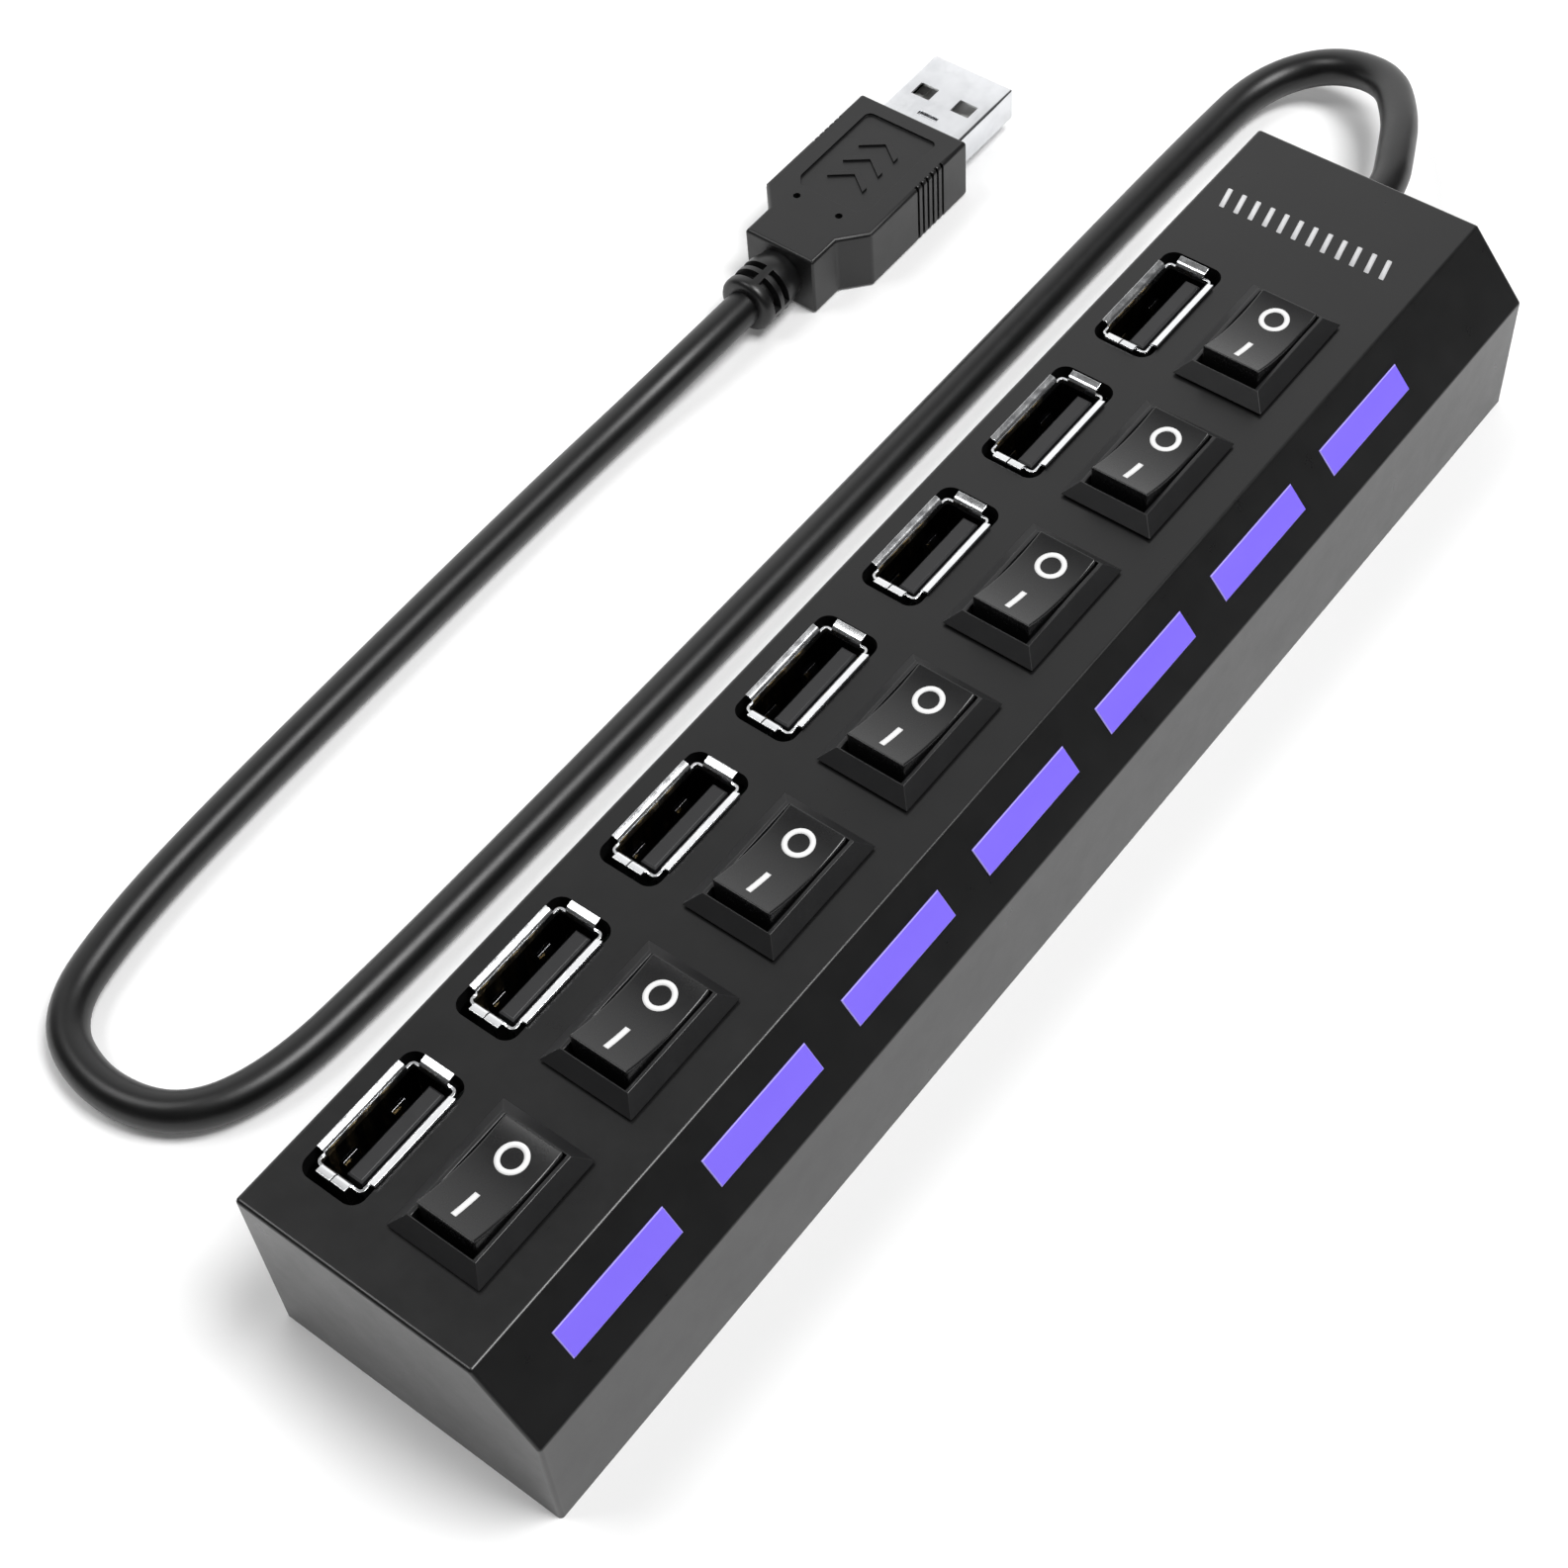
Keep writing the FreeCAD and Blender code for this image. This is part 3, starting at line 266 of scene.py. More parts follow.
# Corner points of the cord's route, grommet to plug, as in the CAD model.
CORD_ROUTE = [
    (91.0, 6.0, 11.2), (97.0, 6.0, 11.2), (103.8, 9.0, 10.5), (110.4, 12.1, 9.3),
    (118.2, 18.0, 7.3), (119.2, 27.0, 4.8), (112.8, 33.1, 3.0), (101.0, 33.9, 2.35),
    (84.0, 34.03, 2.3), (52.0, 33.88, 2.3), (8.0, 33.85, 2.3), (-26.0, 33.98, 2.3),
    (-51.0, 34.28, 2.3), (-67.0, 35.0, 2.3), (-76.3, 39.6, 2.3), (-79.0, 49.3, 2.3),
    (-75.4, 58.8, 2.3), (-63.0, 61.7, 2.3), (-46.0, 62.75, 2.3), (-16.0, 63.35, 2.3),
    (10.0, 63.6, 2.3), (24.0, 63.2, 2.6), (35.5, 62.1, 4.2), (44.0, 62.1, 4.2),
]
CORD_RADIUS = 2.25


def make_cord(material):
    """The free cord as one smooth curve through the CAD model's route."""
    data = bpy.data.curves.new("cord_jacket", "CURVE")
    data.dimensions = "3D"
    spline = data.splines.new("NURBS")
    spline.points.add(len(CORD_ROUTE) - 1)
    for point, place in zip(spline.points, CORD_ROUTE):
        point.co = (*metres(*place), 1.0)
    spline.order_u = 3
    spline.use_endpoint_u = True
    spline.resolution_u = 10
    data.bevel_depth = CORD_RADIUS * 0.001
    data.bevel_resolution = 8
    data.use_fill_caps = True
    data.materials.append(material)
    cord = bpy.data.objects.new("cord_jacket", data)
    bpy.context.scene.collection.objects.link(cord)
    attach(cord, "hub")
    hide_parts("cord")
    return cord


# ---------------------------------------------------------------- mesh tools

def build_mesh(name, points, faces, slots=None, closed=True):
    """A mesh from points in millimetres; the faces of a closed one are turned to look outwards."""
    mesh = bpy.data.meshes.new(name)
    mesh.from_pydata([metres(*point) for point in points], [], faces)
    if slots:
        mesh.polygons.foreach_set("material_index", slots)
    work = bmesh.new()
    work.from_mesh(mesh)
    bmesh.ops.remove_doubles(work, verts=work.verts, dist=1e-7)
    if closed:
        bmesh.ops.recalc_face_normals(work, faces=work.faces)
    work.to_mesh(mesh)
    work.free()
    return mesh


def finished(mesh, *modifiers):
    """The mesh with modifiers applied in turn, each given as (type, settings), then shaded smooth."""
    mesh.polygons.foreach_set("use_smooth", [True] * len(mesh.polygons))
    carrier = bpy.data.objects.new(mesh.name, mesh)
    helpers = [carrier]
    for kind, settings in modifiers:
        modifier = carrier.modifiers.new(kind.lower(), kind)
        for key, value in settings.items():
            if key == "object":
                value = bpy.data.objects.new(value.name, value)
                helpers.append(value)
            setattr(modifier, key, value)
    for helper in helpers:
        bpy.context.scene.collection.objects.link(helper)
    bpy.context.view_layer.update()
    shown = carrier.evaluated_get(bpy.context.evaluated_depsgraph_get())
    result = bpy.data.meshes.new_from_object(shown)
    result.name = mesh.name
    for helper in helpers:
        bpy.data.objects.remove(helper)
    return result


def bevel(width, segments=2, angle=35.0):
    """Settings of a bevel modifier for edges sharper than an angle; width in millimetres."""
    return ("BEVEL", {"width": width * 0.001, "segments": segments, "limit_method": "ANGLE",
                      "angle_limit": math.radians(angle), "harden_normals": True,
                      "use_clamp_overlap": True, "miter_outer": "MITER_ARC"})


def thicken(thickness):
    """Settings of a solidify modifier that adds a sheet's thickness on its inner side."""
    return ("SOLIDIFY", {"thickness": thickness * 0.001, "offset": -1.0, "use_even_offset": True})


def carve(tool):
    """Settings of a boolean modifier that takes a tool mesh's shape away."""
    return ("BOOLEAN", {"object": tool, "operation": "DIFFERENCE", "solver": "EXACT"})


def piece(name, mesh, body, materials, replaced=(), shift=(0, 0, 0), turn=None):
    """An object that shows a mesh, rides on a body and stands for CAD nodes."""
    made = bpy.data.objects.new(name, mesh)
    bpy.context.scene.collection.objects.link(made)
    if not mesh.materials:
        for material in materials:
            mesh.materials.append(material)
    made.matrix_world = Matrix.Translation(metres(*shift)) @ (turn or Matrix.Identity(4))
    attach(made, body)
    if replaced:
        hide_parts(*replaced)
    return made


def loft(rings, caps=(True, True)):
    """Points and faces of a skin through closed rings that have the same number of points."""
    count = len(rings[0])
    points = [point for ring in rings for point in ring]
    faces = []
    for level in range(len(rings) - 1):
        for step in range(count):
            following = (step + 1) % count
            low, high = level * count, (level + 1) * count
            faces.append((low + step, low + following, high + following, high + step))
    if caps[0]:
        faces.append(tuple(range(count))[::-1])
    if caps[1]:
        last = (len(rings) - 1) * count
        faces.append(tuple(last + step for step in range(count)))
    return points, faces


def joined(*parts):
    """Several (points, faces) pairs as one."""
    points, faces = [], []
    for part_points, part_faces in parts:
        start = len(points)
        points.extend(part_points)
        faces.extend(tuple(start + index for index in face) for face in part_faces)
    return points, faces


def rectangle(half_x, half_y, z, middle=(0.0, 0.0)):
    """Four corners of a level rectangle."""
    return [(middle[0] + sign_x * half_x, middle[1] + sign_y * half_y, z)
            for sign_x, sign_y in ((-1, -1), (1, -1), (1, 1), (-1, 1))]


def block(half_x, half_y, low, high, middle=(0.0, 0.0)):
    """A plain block's points and faces."""
    return loft([rectangle(half_x, half_y, low, middle), rectangle(half_x, half_y, high, middle)])


def rounded_outline(corners, radius, steps=5):
    """A closed outline with every corner rounded, as (x, y) pairs."""
    outline = []
    count = len(corners)
    for index in range(count):
        corner = Vector(corners[index])
        back = (Vector(corners[index - 1]) - corner).normalized()
        ahead = (Vector(corners[(index + 1) % count]) - corner).normalized()
        half = back.angle(ahead) / 2
        reach = radius / math.tan(half)
        centre = corner + (back + ahead).normalized() * (radius / math.sin(half))
        start = corner + back * reach - centre
        sweep = (corner + ahead * reach - centre).angle_signed(start)
        for step in range(steps + 1):
            turned = start.copy()
            turned.rotate(Matrix.Rotation(sweep * step / steps, 2))
            outline.append(tuple(centre + turned))
    return outline


def prism(outline, low, high):
    """An upright prism over an outline of (x, y) pairs."""
    return loft([[(x, y, low) for x, y in outline], [(x, y, high) for x, y in outline]])


def inset(outline, distance):
    """A counter-clockwise outline with every side moved inwards."""
    moved = []
    for index, corner in enumerate(outline):
        before, after = Vector(outline[index - 1]), Vector(outline[(index + 1) % len(outline)])
        into, out_of = (Vector(corner) - before).normalized(), (after - Vector(corner)).normalized()
        first, second = Vector((-into.y, into.x)), Vector((-out_of.y, out_of.x))
        moved.append(tuple(Vector(corner) + (first + second) * (distance / (1 + first.dot(second)))))
    return moved


def cushion(outline, low, high, radius, steps=5):
    """A prism whose upper and lower edges are rounded; its upright edges stay sharp."""
    levels = []
    for step in range(steps + 1):
        angle = math.pi / 2 * step / steps
        levels.append((radius * (1 - math.sin(angle)), radius * (1 - math.cos(angle))))
    rings = [[(x, y, low + rise) for x, y in inset(outline, less)] for less, rise in levels]
    rings += [[(x, y, high - rise) for x, y in inset(outline, less)] for less, rise in reversed(levels)]
    return loft(rings)


def revolved(profile, steps=48):
    """A skin round the x axis through (x, radius) pairs, closed where the radius is zero."""
    rings = []
    for x, radius in profile:
        rings.append([(x, radius * math.cos(2 * math.pi * step / steps),
                       radius * math.sin(2 * math.pi * step / steps)) for step in range(steps)])
    return loft(rings)


# ---------------------------------------------------------------- ports

def strip(stations, rows):
    """Sheet over stations ((u, v), (outward u, v)) and rows (outward offset, level)."""
    points = [(u + out_u * out, v + out_v * out, level)
              for (u, v), (out_u, out_v) in stations for out, level in rows]
    tall = len(rows)
    faces = []
    for step in range(len(stations) - 1):
        for level in range(tall - 1):
            low, high = step * tall + level, (step + 1) * tall + level
            faces.append((low, high, high + 1, low + 1))
    return points, faces


def side_stations(side, half_u, half_v, first, last):
    """Two stations on one straight side of a rectangular tube, in counter-clockwise order."""
    if side == "front":
        return [((first, -half_v), (0, -1)), ((last, -half_v), (0, -1))]
    if side == "back":
        return [((-first, half_v), (0, 1)), ((-last, half_v), (0, 1))]
    if side == "right":
        return [((half_u, first), (1, 0)), ((half_u, last), (1, 0))]
    return [((-half_u, -first), (-1, 0)), ((-half_u, -last), (-1, 0))]


def corner_stations(half_u, half_v, radius, quarter, steps=5):
    """Stations round one corner of a rectangular tube; quarter 0 is the one at +u, -v."""
    signs = [(1, -1), (1, 1), (-1, 1), (-1, -1)][quarter]
    middle = (signs[0] * (half_u - radius), signs[1] * (half_v - radius))
    found = []
    for step in range(steps + 1):
        angle = math.radians(-90 + 90 * quarter + 90 * step / steps)
        away = (math.cos(angle), math.sin(angle))
        found.append(((middle[0] + radius * away[0], middle[1] + radius * away[1]), away))
    return found


def lip_rows(root, top, flare, degrees):
    """Rows of a lip that rises from root, bends outwards by an angle and ends at top."""
    bend, radius = math.radians(degrees), 0.35
    flat = (flare - radius * (1 - math.cos(bend))) / math.sin(bend)
    start = top - radius * math.sin(bend) - flat * math.cos(bend)
    arc = [(radius * (1 - math.cos(bend * step / 6)), start + radius * math.sin(bend * step / 6))
           for step in range(7)]
    return [(0, root), *arc, (flare, top)]


def paint_shade_inside(mesh, half_u, half_v, top):
    """Give faces inside a tube of this half size and below top the mesh's second material, a darker sheet
    as painted shade.
    """
    for polygon in mesh.polygons:
        u, v, level = polygon.center * 1000
        if abs(u) < half_u and abs(v) < half_v and level < top:
            polygon.material_index = 1


def port_shell_mesh():
    """Receptacle shell: folded sheet with spring fingers and four curled lips round the mouth."""
    half_u, half_v, radius = 6.65, 2.85, 0.6
    foot, window_low, window_high, split, rim = 9.6, 15.2, 20.2, 22.75, HEIGHT - 0.25
    parts = []
    for quarter in range(4):
        stations = corner_stations(half_u, half_v, radius, quarter)
        parts.append(strip(stations, [(0, level) for level in (foot, window_low, window_high, split, rim)]))
    long_breaks = [-6.05, -5.55, -4.45, -2.15, 2.15, 4.45, 5.55, 6.05]
    short_breaks = [-2.25, -1.8, -0.05, 0.05, 1.8, 2.25]
    for side, breaks in (("front", long_breaks), ("right", short_breaks),
                         ("back", long_breaks), ("left", short_breaks)):
        flare = {"front": 0.82, "back": 0.68}.get(side, 0.87)
        degrees = 86 if side == "left" else 76
        for first, last in zip(breaks, breaks[1:]):
            middle = (first + last) / 2
            if side == "left" and abs(middle) < 0.01:
                continue
            stations = side_stations(side, half_u, half_v, first, last)
            parts.append(strip(stations, [(0, foot), (0, window_low)]))
            if not (breaks is long_breaks and 2.15 < abs(middle) < 4.45):
                parts.append(strip(stations, [(0, window_low), (0, window_high)]))
            parts.append(strip(stations, [(0, window_high), (0, split)]))
            if abs(middle) > abs(breaks[1]):
                parts.append(strip(stations, [(0, split), (0, rim)]))
            else:
                parts.append(strip(stations, lip_rows(split, HEIGHT + 0.25, flare, degrees)))
        if breaks is long_breaks:
            for middle in (-3.3, 3.3):
                stations = side_stations(side, half_u, half_v, middle - 0.95, middle + 0.95)
                parts.append(strip(stations, [(0, window_low), (-0.15, 16.0), (-0.5, 17.4), (-0.72, 18.4),
                                              (-0.7, 18.9), (-0.45, 19.5), (-0.2, 19.8)]))
    mesh = finished(build_mesh("port_shell", *joined(*parts), closed=False), thicken(0.3),
                    bevel(0.05, 2, 50))
    # Inside faces take the darker sheet as painted shade.
    paint_shade_inside(mesh, half_u - 0.12, half_v - 0.12, split)
    return mesh


def port_tongue_mesh():
    """Receptacle insulator: base block, and the tongue with four contact channels and a tapered tip."""
    half_u, low_v, high_v = 5.65, -1.9, -0.06

    def ring(level, channel, less):
        outline = [(-half_u, low_v), (half_u, low_v), (half_u, high_v)]
        for middle in (3.5, 1.0, -1.0, -3.5):
            outline += [(middle + 0.62, high_v), (middle + 0.62, high_v - channel),
                        (middle - 0.62, high_v - channel), (middle - 0.62, high_v)]
        outline.append((-half_u, high_v))
        centre = (low_v + high_v) / 2
        shrink_u, shrink_v = 1 - less / half_u, 1 - less / (high_v - centre)
        return [(u * shrink_u, centre + (v - centre) * shrink_v, level) for u, v in outline]

    blade = loft([ring(11.9, 0.25, 0), ring(22.3, 0.25, 0), ring(22.3, 0, 0), ring(22.78, 0, 0),
                  ring(23.0, 0, 0.22)])
    base = block(6.25, 2.5, 9.6, 12.0)
    return finished(build_mesh("port_tongue", *joined(blade, base)), bevel(0.05, 2, 30))


def port_contacts_mesh():
    """Four sprung contacts on the open side of a tongue."""
    rows = [(0.0, 13.0), (0.04, 16.0), (0.22, 17.8), (0.46, 19.4), (0.58, 20.2), (0.58, 20.7),
            (0.44, 21.3), (0.16, 21.9), (-0.12, 22.2)]
    parts = []
    for middle in (-3.5, -1.0, 1.0, 3.5):
        stations = [((middle + 0.5, -0.06), (0, 1)), ((middle - 0.5, -0.06), (0, 1))]
        parts.append(strip(stations, rows))
    mesh = build_mesh("port_contacts", *joined(*parts), closed=False)
    return finished(mesh, thicken(0.18), bevel(0.04, 2, 50))


def make_ports(materials):
    """Seven receptacles from three shared meshes."""
    shell, tongue, contacts = port_shell_mesh(), port_tongue_mesh(), port_contacts_mesh()
    for number, x in enumerate(PORT_X, start=1):
        place = (x, PORT_Y, 0)
        piece("port_shell_%d" % number, shell, "hub",
              [materials["steel"], materials["painted_shade_steel"]], ["usb_shell_%d" % number], place)
        piece("port_tongue_%d" % number, tongue, "hub", [materials["insulator"]],
              ["usb_tongue_%d" % number], place)
        piece("port_contacts_%d" % number, contacts, "hub", [materials["gold"]],
              ["usb_contacts"], place)


# ---------------------------------------------------------------- switches

ROCKER_TILT = math.radians(6.4)
DISH_RADIUS = 21.0
CROWN = 2.95
ROCKER_HALF = 6.05


def dish(x):
    """Height of the rocker's dished top over its pivot."""
    edge = math.sqrt(DISH_RADIUS ** 2 - ROCKER_HALF ** 2)
    return CROWN + edge - math.sqrt(DISH_RADIUS ** 2 - x ** 2)


def switch_body_mesh():
    """Fixed part of a switch: mitred bezel with a flat rim, deep opening and the body below."""
    sizes = [(6.95, 4.75, 10.6), (6.95, 4.75, HEIGHT + 0.26), (7.92, 5.42, HEIGHT + 0.26),
             (8.0, 5.5, HEIGHT + 0.34), (6.5, 4.05, HEIGHT + 1.75), (6.4, 3.66, HEIGHT + 1.75),
             (6.38, 3.62, HEIGHT + 1.6), (6.38, 3.62, 15.0)]
    mesh = build_mesh("switch_bezel", *loft([rectangle(*size) for size in sizes]))
    return finished(mesh, bevel(0.07, 2, 28))


def rocker_mesh():
    """The rocker at its pivot: dished top, tapered ends, crisp rounded edges, two trunnions."""
    steps = 32
    outline = [(ROCKER_HALF - 2 * ROCKER_HALF * step / steps,
                dish(ROCKER_HALF - 2 * ROCKER_HALF * step / steps)) for step in range(steps + 1)]
    outline += [(-5.45, -1.5), (-2.4, -3.4), (2.4, -3.4), (5.45, -1.5)]
    rings = [[(x, y, z) for x, z in outline] for y in (-3.45, 3.45)]
    mesh = finished(build_mesh("rocker", *loft(rings)), bevel(0.28, 4, 40))
    for side in (-1, 1):
        pin = bmesh.new()
        pin.from_mesh(mesh)
        turn = Matrix.Translation(metres(0, side * 3.8, 0)) @ Matrix.Rotation(math.pi / 2, 4, "X")
        bmesh.ops.create_cone(pin, cap_ends=True, segments=32, radius1=0.00075, radius2=0.00075,
                              depth=0.0009, matrix=turn)
        pin.to_mesh(mesh)
        pin.free()
    return mesh


def off_mark_mesh():
    """The ring mark, a thin inlay that follows the dish."""
    steps = 56
    points = []
    for step in range(steps):
        angle = 2 * math.pi * step / steps
        for half_x, half_y in ((1.70, 1.62), (1.12, 1.05)):
            x = 2.93 + half_x * math.cos(angle)
            points.append((x, half_y * math.sin(angle), dish(x) + 0.02))
    faces = [(2 * step, 2 * step + 1, 2 * ((step + 1) % steps) + 1, 2 * ((step + 1) % steps))
             for step in range(steps)]
    faces = [face[::-1] for face in faces]
    return finished(build_mesh("off_mark", points, faces, closed=False), thicken(0.04))


def on_mark_mesh():
    """The bar mark, a thin inlay that follows the dish."""
    steps = 14
    points = []
    for step in range(steps + 1):
        x = -4.86 + 3.2 * step / steps
        for y in (-0.3, 0.3):
            points.append((x, y, dish(x) + 0.02))
    faces = [(2 * step, 2 * step + 2, 2 * step + 3, 2 * step + 1) for step in range(steps)]
    return finished(build_mesh("on_mark", points, faces, closed=False), thicken(0.04))


def make_switches(materials):
    """Seven switches; each rocker and its marks ride on that rocker's body."""
    bezel, top, ring, bar = switch_body_mesh(), rocker_mesh(), off_mark_mesh(), on_mark_mesh()
    tilt = Matrix.Rotation(ROCKER_TILT, 4, "Y")
    for number, x in enumerate(SWITCH_X, start=1):
        body, pivot = "rocker_%d" % number, (x, SWITCH_Y, HEIGHT)
        piece("switch_bezel_%d" % number, bezel, "hub", [materials["switch"]],
              ["switch_body_%d" % number], (x, SWITCH_Y, 0))
        piece("rocker_top_%d" % number, top, body, [materials["rocker"]],
              ["rocker_%d" % number], pivot, tilt)
        piece("off_mark_%d" % number, ring, body, [materials["mark"]], (), pivot, tilt)
        piece("on_mark_%d" % number, bar, body, [materials["mark"]], (), pivot, tilt)


# ---------------------------------------------------------------- windows and the mark on top

def make_windows(materials):
    """Seven light windows: bevelled plates in the slope with a flange behind the wall; the bevel round the
    top is painted lighter as a highlight.
    """
    sizes = [(8.42, 2.43, -2.8), (8.42, 2.43, -2.0), (7.67, 1.68, -2.0), (7.67, 1.68, -0.02),
             (7.57, 1.58, 0.08)]
    rings = [rectangle(*size) for size in sizes]
    points, faces = loft(rings)
    # The bevel round the top takes the lighter rim colour, a painted highlight.
    highlight_start = 4 * (len(rings) - 2)
    slots = [1 if highlight_start <= index < highlight_start + 4 else 0 for index in range(len(faces))]
    mesh = build_mesh("light_window", points, faces, slots=slots)
    turn = Matrix.Rotation(math.atan(SLOPE_DROP / SLOPE_RUN), 4, "X")
    for number, x in enumerate(WINDOW_X, start=1):
        piece("window_lens_%d" % number, mesh, "hub",
              [materials["window"], materials["window_painted_highlight"]], ["light_window_%d" % number],
              (x, FRONT_Y + SLOPE_RUN / 2, HEIGHT - SLOPE_DROP / 2), turn)


def make_top_mark(materials):
    """A row of slanted strokes printed near the cord's end, a plain decoration."""
    near_x, far_x, first_y, step_y = 71.65, 74.7, -6.4, 1.86
    parts = []
    for step in range(12):
        y = first_y + step_y * step
        stroke = [(near_x, y - 0.3), (far_x, y + 0.35), (far_x, y + 0.95), (near_x, y + 0.3)]
        parts.append(prism(rounded_outline(stroke, 0.12), HEIGHT - 0.02, HEIGHT + 0.02))
    mesh = finished(build_mesh("top_mark", *joined(*parts)))
    piece("top_mark", mesh, "hub", [materials["print"]])


# ---------------------------------------------------------------- plug

PLUG_TAIL = 51.2
PLUG_Y = 62.1
PLUG_Z = 4.2
GRIP_LENGTH = 27.5
GRIP_HIGH = 8.4
RELIEF_LENGTH = 7.2
PANEL_DEPTH = 0.32


def grip_mesh():
    """Moulded grip about the plug's axis: rounded block with a sunk panel, grooves and dimples."""
    half = [(0, 5.15), (4.7, 5.15), (7.9, 8.05), (GRIP_LENGTH, 8.05)]
    outline = [(x, -y) for x, y in half] + [(x, y) for x, y in reversed(half)]
    top = GRIP_HIGH / 2
    body = finished(build_mesh("grip", *cushion(outline, -top, top, 0.5)), bevel(0.3, 3, 40))

    panel = [(9.9, -4.2), (11.3, -5.3), (25.2, -5.3), (25.2, 5.3), (11.3, 5.3), (9.9, 4.2)]
    tools = [prism(rounded_outline(panel, 0.9), top - PANEL_DEPTH, top + 1)]
    for side in (-1, 1):
        for step in range(6):
            middle = (17.42 + 1.0 * step, side * 8.3)
            tools.append(block(0.2, 0.75, -top - 1, top + 1, middle))
    for y in (-2.9, 3.5):
        dimple = [(8.2 + 0.46 * math.cos(math.radians(angle)), y + 0.46 * math.sin(math.radians(angle)))
                  for angle in range(0, 360, 15)]
        tools.append(prism(dimple, top - 0.9, top + 1))
    even = ("WEIGHTED_NORMAL", {"weight": 100})
    return finished(body, carve(build_mesh("grip_tools", *joined(*tools))), bevel(0.06, 2, 35), even)


def emblem_mesh():
    """Three plain raised chevrons that lie in the grip's panel and point to the mouth."""
    floor = GRIP_HIGH / 2 - PANEL_DEPTH
    chevrons = []
    for start in (13.2, 16.4, 19.6):
        outline = [(start, -2.7), (start + 0.9, -2.7), (start + 2.9, 0), (start + 0.9, 2.7),
                   (start, 2.7), (start + 2.0, 0)]
        chevrons.append(prism(outline, floor - 0.1, floor + 0.26))
    return finished(build_mesh("grip_emblem", *joined(*chevrons)), bevel(0.05, 2, 35))


def relief_mesh():
    """Strain relief about the plug's axis, from its end to the grip, slotted in rings."""
    profile = [(0.0, 0.0), (0.0, 2.6), (0.06, 3.1), (0.22, 3.42), (0.5, 3.6), (0.9, 3.66), (1.5, 3.62),
               (4.6, 3.62), (5.2, 3.6), (5.8, 3.48), (6.4, 3.32), (6.9, 3.2), (7.3, 3.16), (7.3, 0.0)]
    blank = finished(build_mesh("relief", *revolved(profile, 64)))
    tools = []
    for start, end in ((1.5, 2.7), (3.4, 4.3)):
        for quarter in range(4):
            arc = [math.radians(15 + 90 * quarter + 7 + 76 * step / 8) for step in range(9)]
            section = [(5.0 * math.cos(angle), 5.0 * math.sin(angle)) for angle in arc]
            section += [(2.5 * math.cos(angle), 2.5 * math.sin(angle)) for angle in reversed(arc)]
            tools.append(loft([[(x, y, z) for y, z in section] for x in (start, end)]))
    tool = build_mesh("relief_tools", *joined(*tools))
    return finished(blank, carve(tool), bevel(0.05, 2, 40))


def plug_shell_mesh():
    """The plug's folded steel shell, x from 0 at the grip, with latch holes and a pressed tab."""
    half_u, half_v, radius, length = 2.25, 6.0, 0.35, 12.8
    levels = [0, 2.55, 3.25, 5.3, 7.6, 12.5, length]
    outs = [0, 0, 0, 0, 0, 0, -0.12]
    rows = list(zip(outs, levels))
    parts = [strip(corner_stations(half_u, half_v, radius, quarter), rows) for quarter in range(4)]
    for side in ("front", "back"):
        parts.append(strip(side_stations(side, half_u, half_v, -1.9, 1.9), rows))
    breaks = [-5.65, -4.35, -1.65, -1.45, -0.03, 0.03, 1.45, 1.65, 4.35, 5.65]
    for side in ("right", "left"):
        for first, last in zip(breaks, breaks[1:]):
            middle = abs(first + last) / 2
            stations = side_stations(side, half_u, half_v, first, last)
            for low, high in zip(rows, rows[1:]):
                hole = low[1] == 5.3 and 1.65 < middle < 4.35
                tab = side == "left" and low[1] == 2.55 and middle < 1.45
                seam = side == "right" and middle < 0.01
                if not (hole or tab or seam):
                    parts.append(strip(stations, [low, high]))
    parts.append(strip(side_stations("left", half_u, half_v, -1.38, 1.38), [(0.0, 2.6), (-0.22, 3.2)]))
    points, faces = joined(*parts)
    mesh = build_mesh("plug_shell", [(level, v, -u) for u, v, level in points], faces, closed=False)
    mesh = finished(mesh, thicken(0.3), bevel(0.04, 2, 50))
    # Faces inside the plug shell take the darker sheet as painted shade.
    for polygon in mesh.polygons:
        x, y, z = polygon.center * 1000
        if x < length - 0.4 and abs(y) < half_v - 0.12 and abs(z) < half_u - 0.2:
            polygon.material_index = 1
    return mesh


def plug_insert_mesh():
    """The plug's insulator: a board with four contact channels, open at the mouth."""
    floor, thickness, half_width = -2.25 + 0.35, 1.9, 5.5

    def ring(x, less):
        low, high = floor + less, floor + thickness - less
        side = half_width - less
        outline = [(side, low), (-side, low), (-side, high)]
        for middle in (-3.5, -1.0, 1.0, 3.5):
            outline += [(middle - 0.75, high), (middle - 0.75, high - 0.25),
                        (middle + 0.75, high - 0.25), (middle + 0.75, high)]
        outline.append((side, high))
        return [(x, y, z) for y, z in outline]

    return finished(build_mesh("plug_insert", *loft([ring(0.02, 0), ring(12.1, 0), ring(12.4, 0.15)])),
                    bevel(0.05, 2, 40))


def plug_contacts_mesh():
    """Four flat contacts in the channels of the plug's insulator."""
    parts = []
    for middle in (-3.5, -1.0, 1.0, 3.5):
        length = 4.2 if abs(middle) < 2 else 3.7
        outline = rounded_outline([(11.6 - 2 * length, middle - 0.5), (11.6, middle - 0.5),
                                   (11.6, middle + 0.5), (11.6 - 2 * length, middle + 0.5)], 0.2)
        parts.append(prism(outline, -0.62, -0.42))
    return finished(build_mesh("plug_contacts", *joined(*parts)), bevel(0.04, 2, 40))


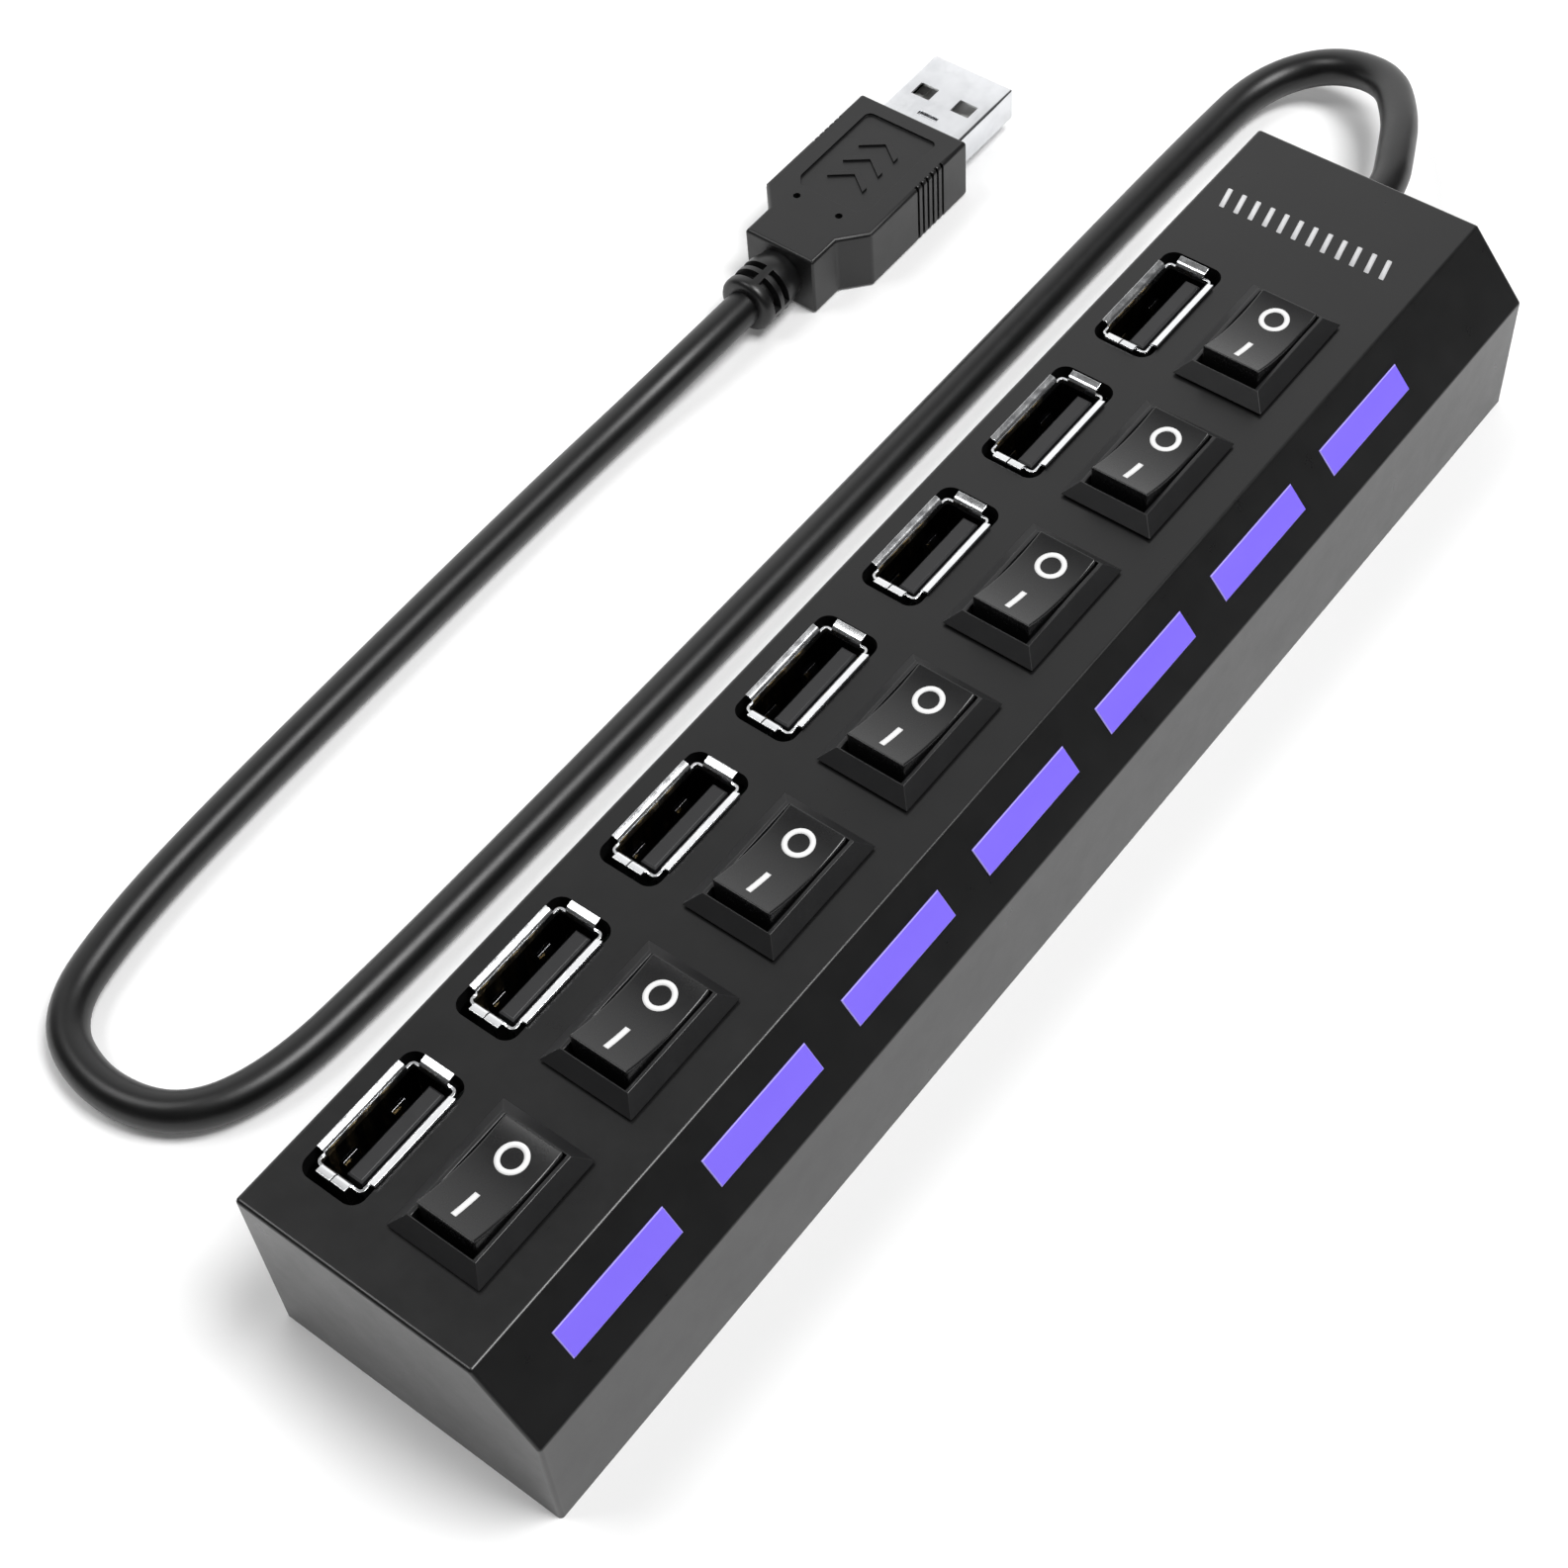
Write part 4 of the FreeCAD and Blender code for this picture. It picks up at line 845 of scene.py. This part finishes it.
def make_plug(materials):
    """The plug's pieces, which all go with the cord."""
    tail, mouth = (PLUG_TAIL, PLUG_Y, PLUG_Z), (PLUG_TAIL + GRIP_LENGTH, PLUG_Y, PLUG_Z)
    return [
        piece("plug_moulding", grip_mesh(), "hub", [materials["plug"]], ["plug_grip"], tail),
        piece("plug_emblem", emblem_mesh(), "hub", [materials["plug"]], (), tail),
        piece("plug_bend_relief", relief_mesh(), "hub", [materials["plug"]], ["plug_relief"],
              (PLUG_TAIL - RELIEF_LENGTH, PLUG_Y, PLUG_Z)),
        piece("plug_sheet", plug_shell_mesh(), "hub",
              [materials["plug_steel"], materials["painted_shade_steel"]], ["plug_shell"], mouth),
        piece("plug_board", plug_insert_mesh(), "hub", [materials["plug_insert"]],
              ["plug_tongue"], mouth),
        piece("plug_pins", plug_contacts_mesh(), "hub", [materials["gold"]],
              ["plug_contacts"], mouth),
    ]


def make_grommet(materials):
    """Rubber strain relief in the end wall, ringed with grooves."""
    profile = [(-3.2, 0.0), (-3.2, 4.15), (-3.05, 4.3), (-2.15, 4.3), (-2.0, 4.15), (-2.0, 3.38),
               (0.0, 3.38), (0.02, 3.6), (0.12, 3.7), (0.8, 3.7), (0.95, 3.6)]
    for groove in range(3):
        start = 1.3 + 1.45 * groove
        outer = 3.5 - 0.13 * groove
        profile += [(start - 0.1, outer), (start, outer - 0.08), (start, outer - 0.5),
                    (start + 0.6, outer - 0.5), (start + 0.6, outer - 0.1), (start + 0.7, outer - 0.03)]
    profile += [(5.7, 3.0), (5.92, 2.9), (6.0, 2.7), (6.0, 0.0)]
    mesh = finished(build_mesh("grommet", *revolved(profile, 56)), bevel(0.05, 2, 40))
    return piece("cord_sleeve", mesh, "hub", [materials["grommet"]], ["cord_grommet"],
                 (85.0, 6.0, 11.2))


# ---------------------------------------------------------------- main

make_camera()
MATERIALS = make_materials()
cord_piece = make_cord(MATERIALS["cord"])
slot_of = {row["node"]: row["material_slot"] for row in frame["record"]["subparts"]}
for name, node in nodes.items():
    node.data.materials.clear()
    node.data.materials.append(MATERIALS[slot_of[name]])
make_ports(MATERIALS)
make_switches(MATERIALS)
make_windows(MATERIALS)
make_top_mark(MATERIALS)
plug_pieces = make_plug(MATERIALS)
sleeve = make_grommet(MATERIALS)
make_stage()

bpy.context.scene.view_settings.view_transform = "Standard"
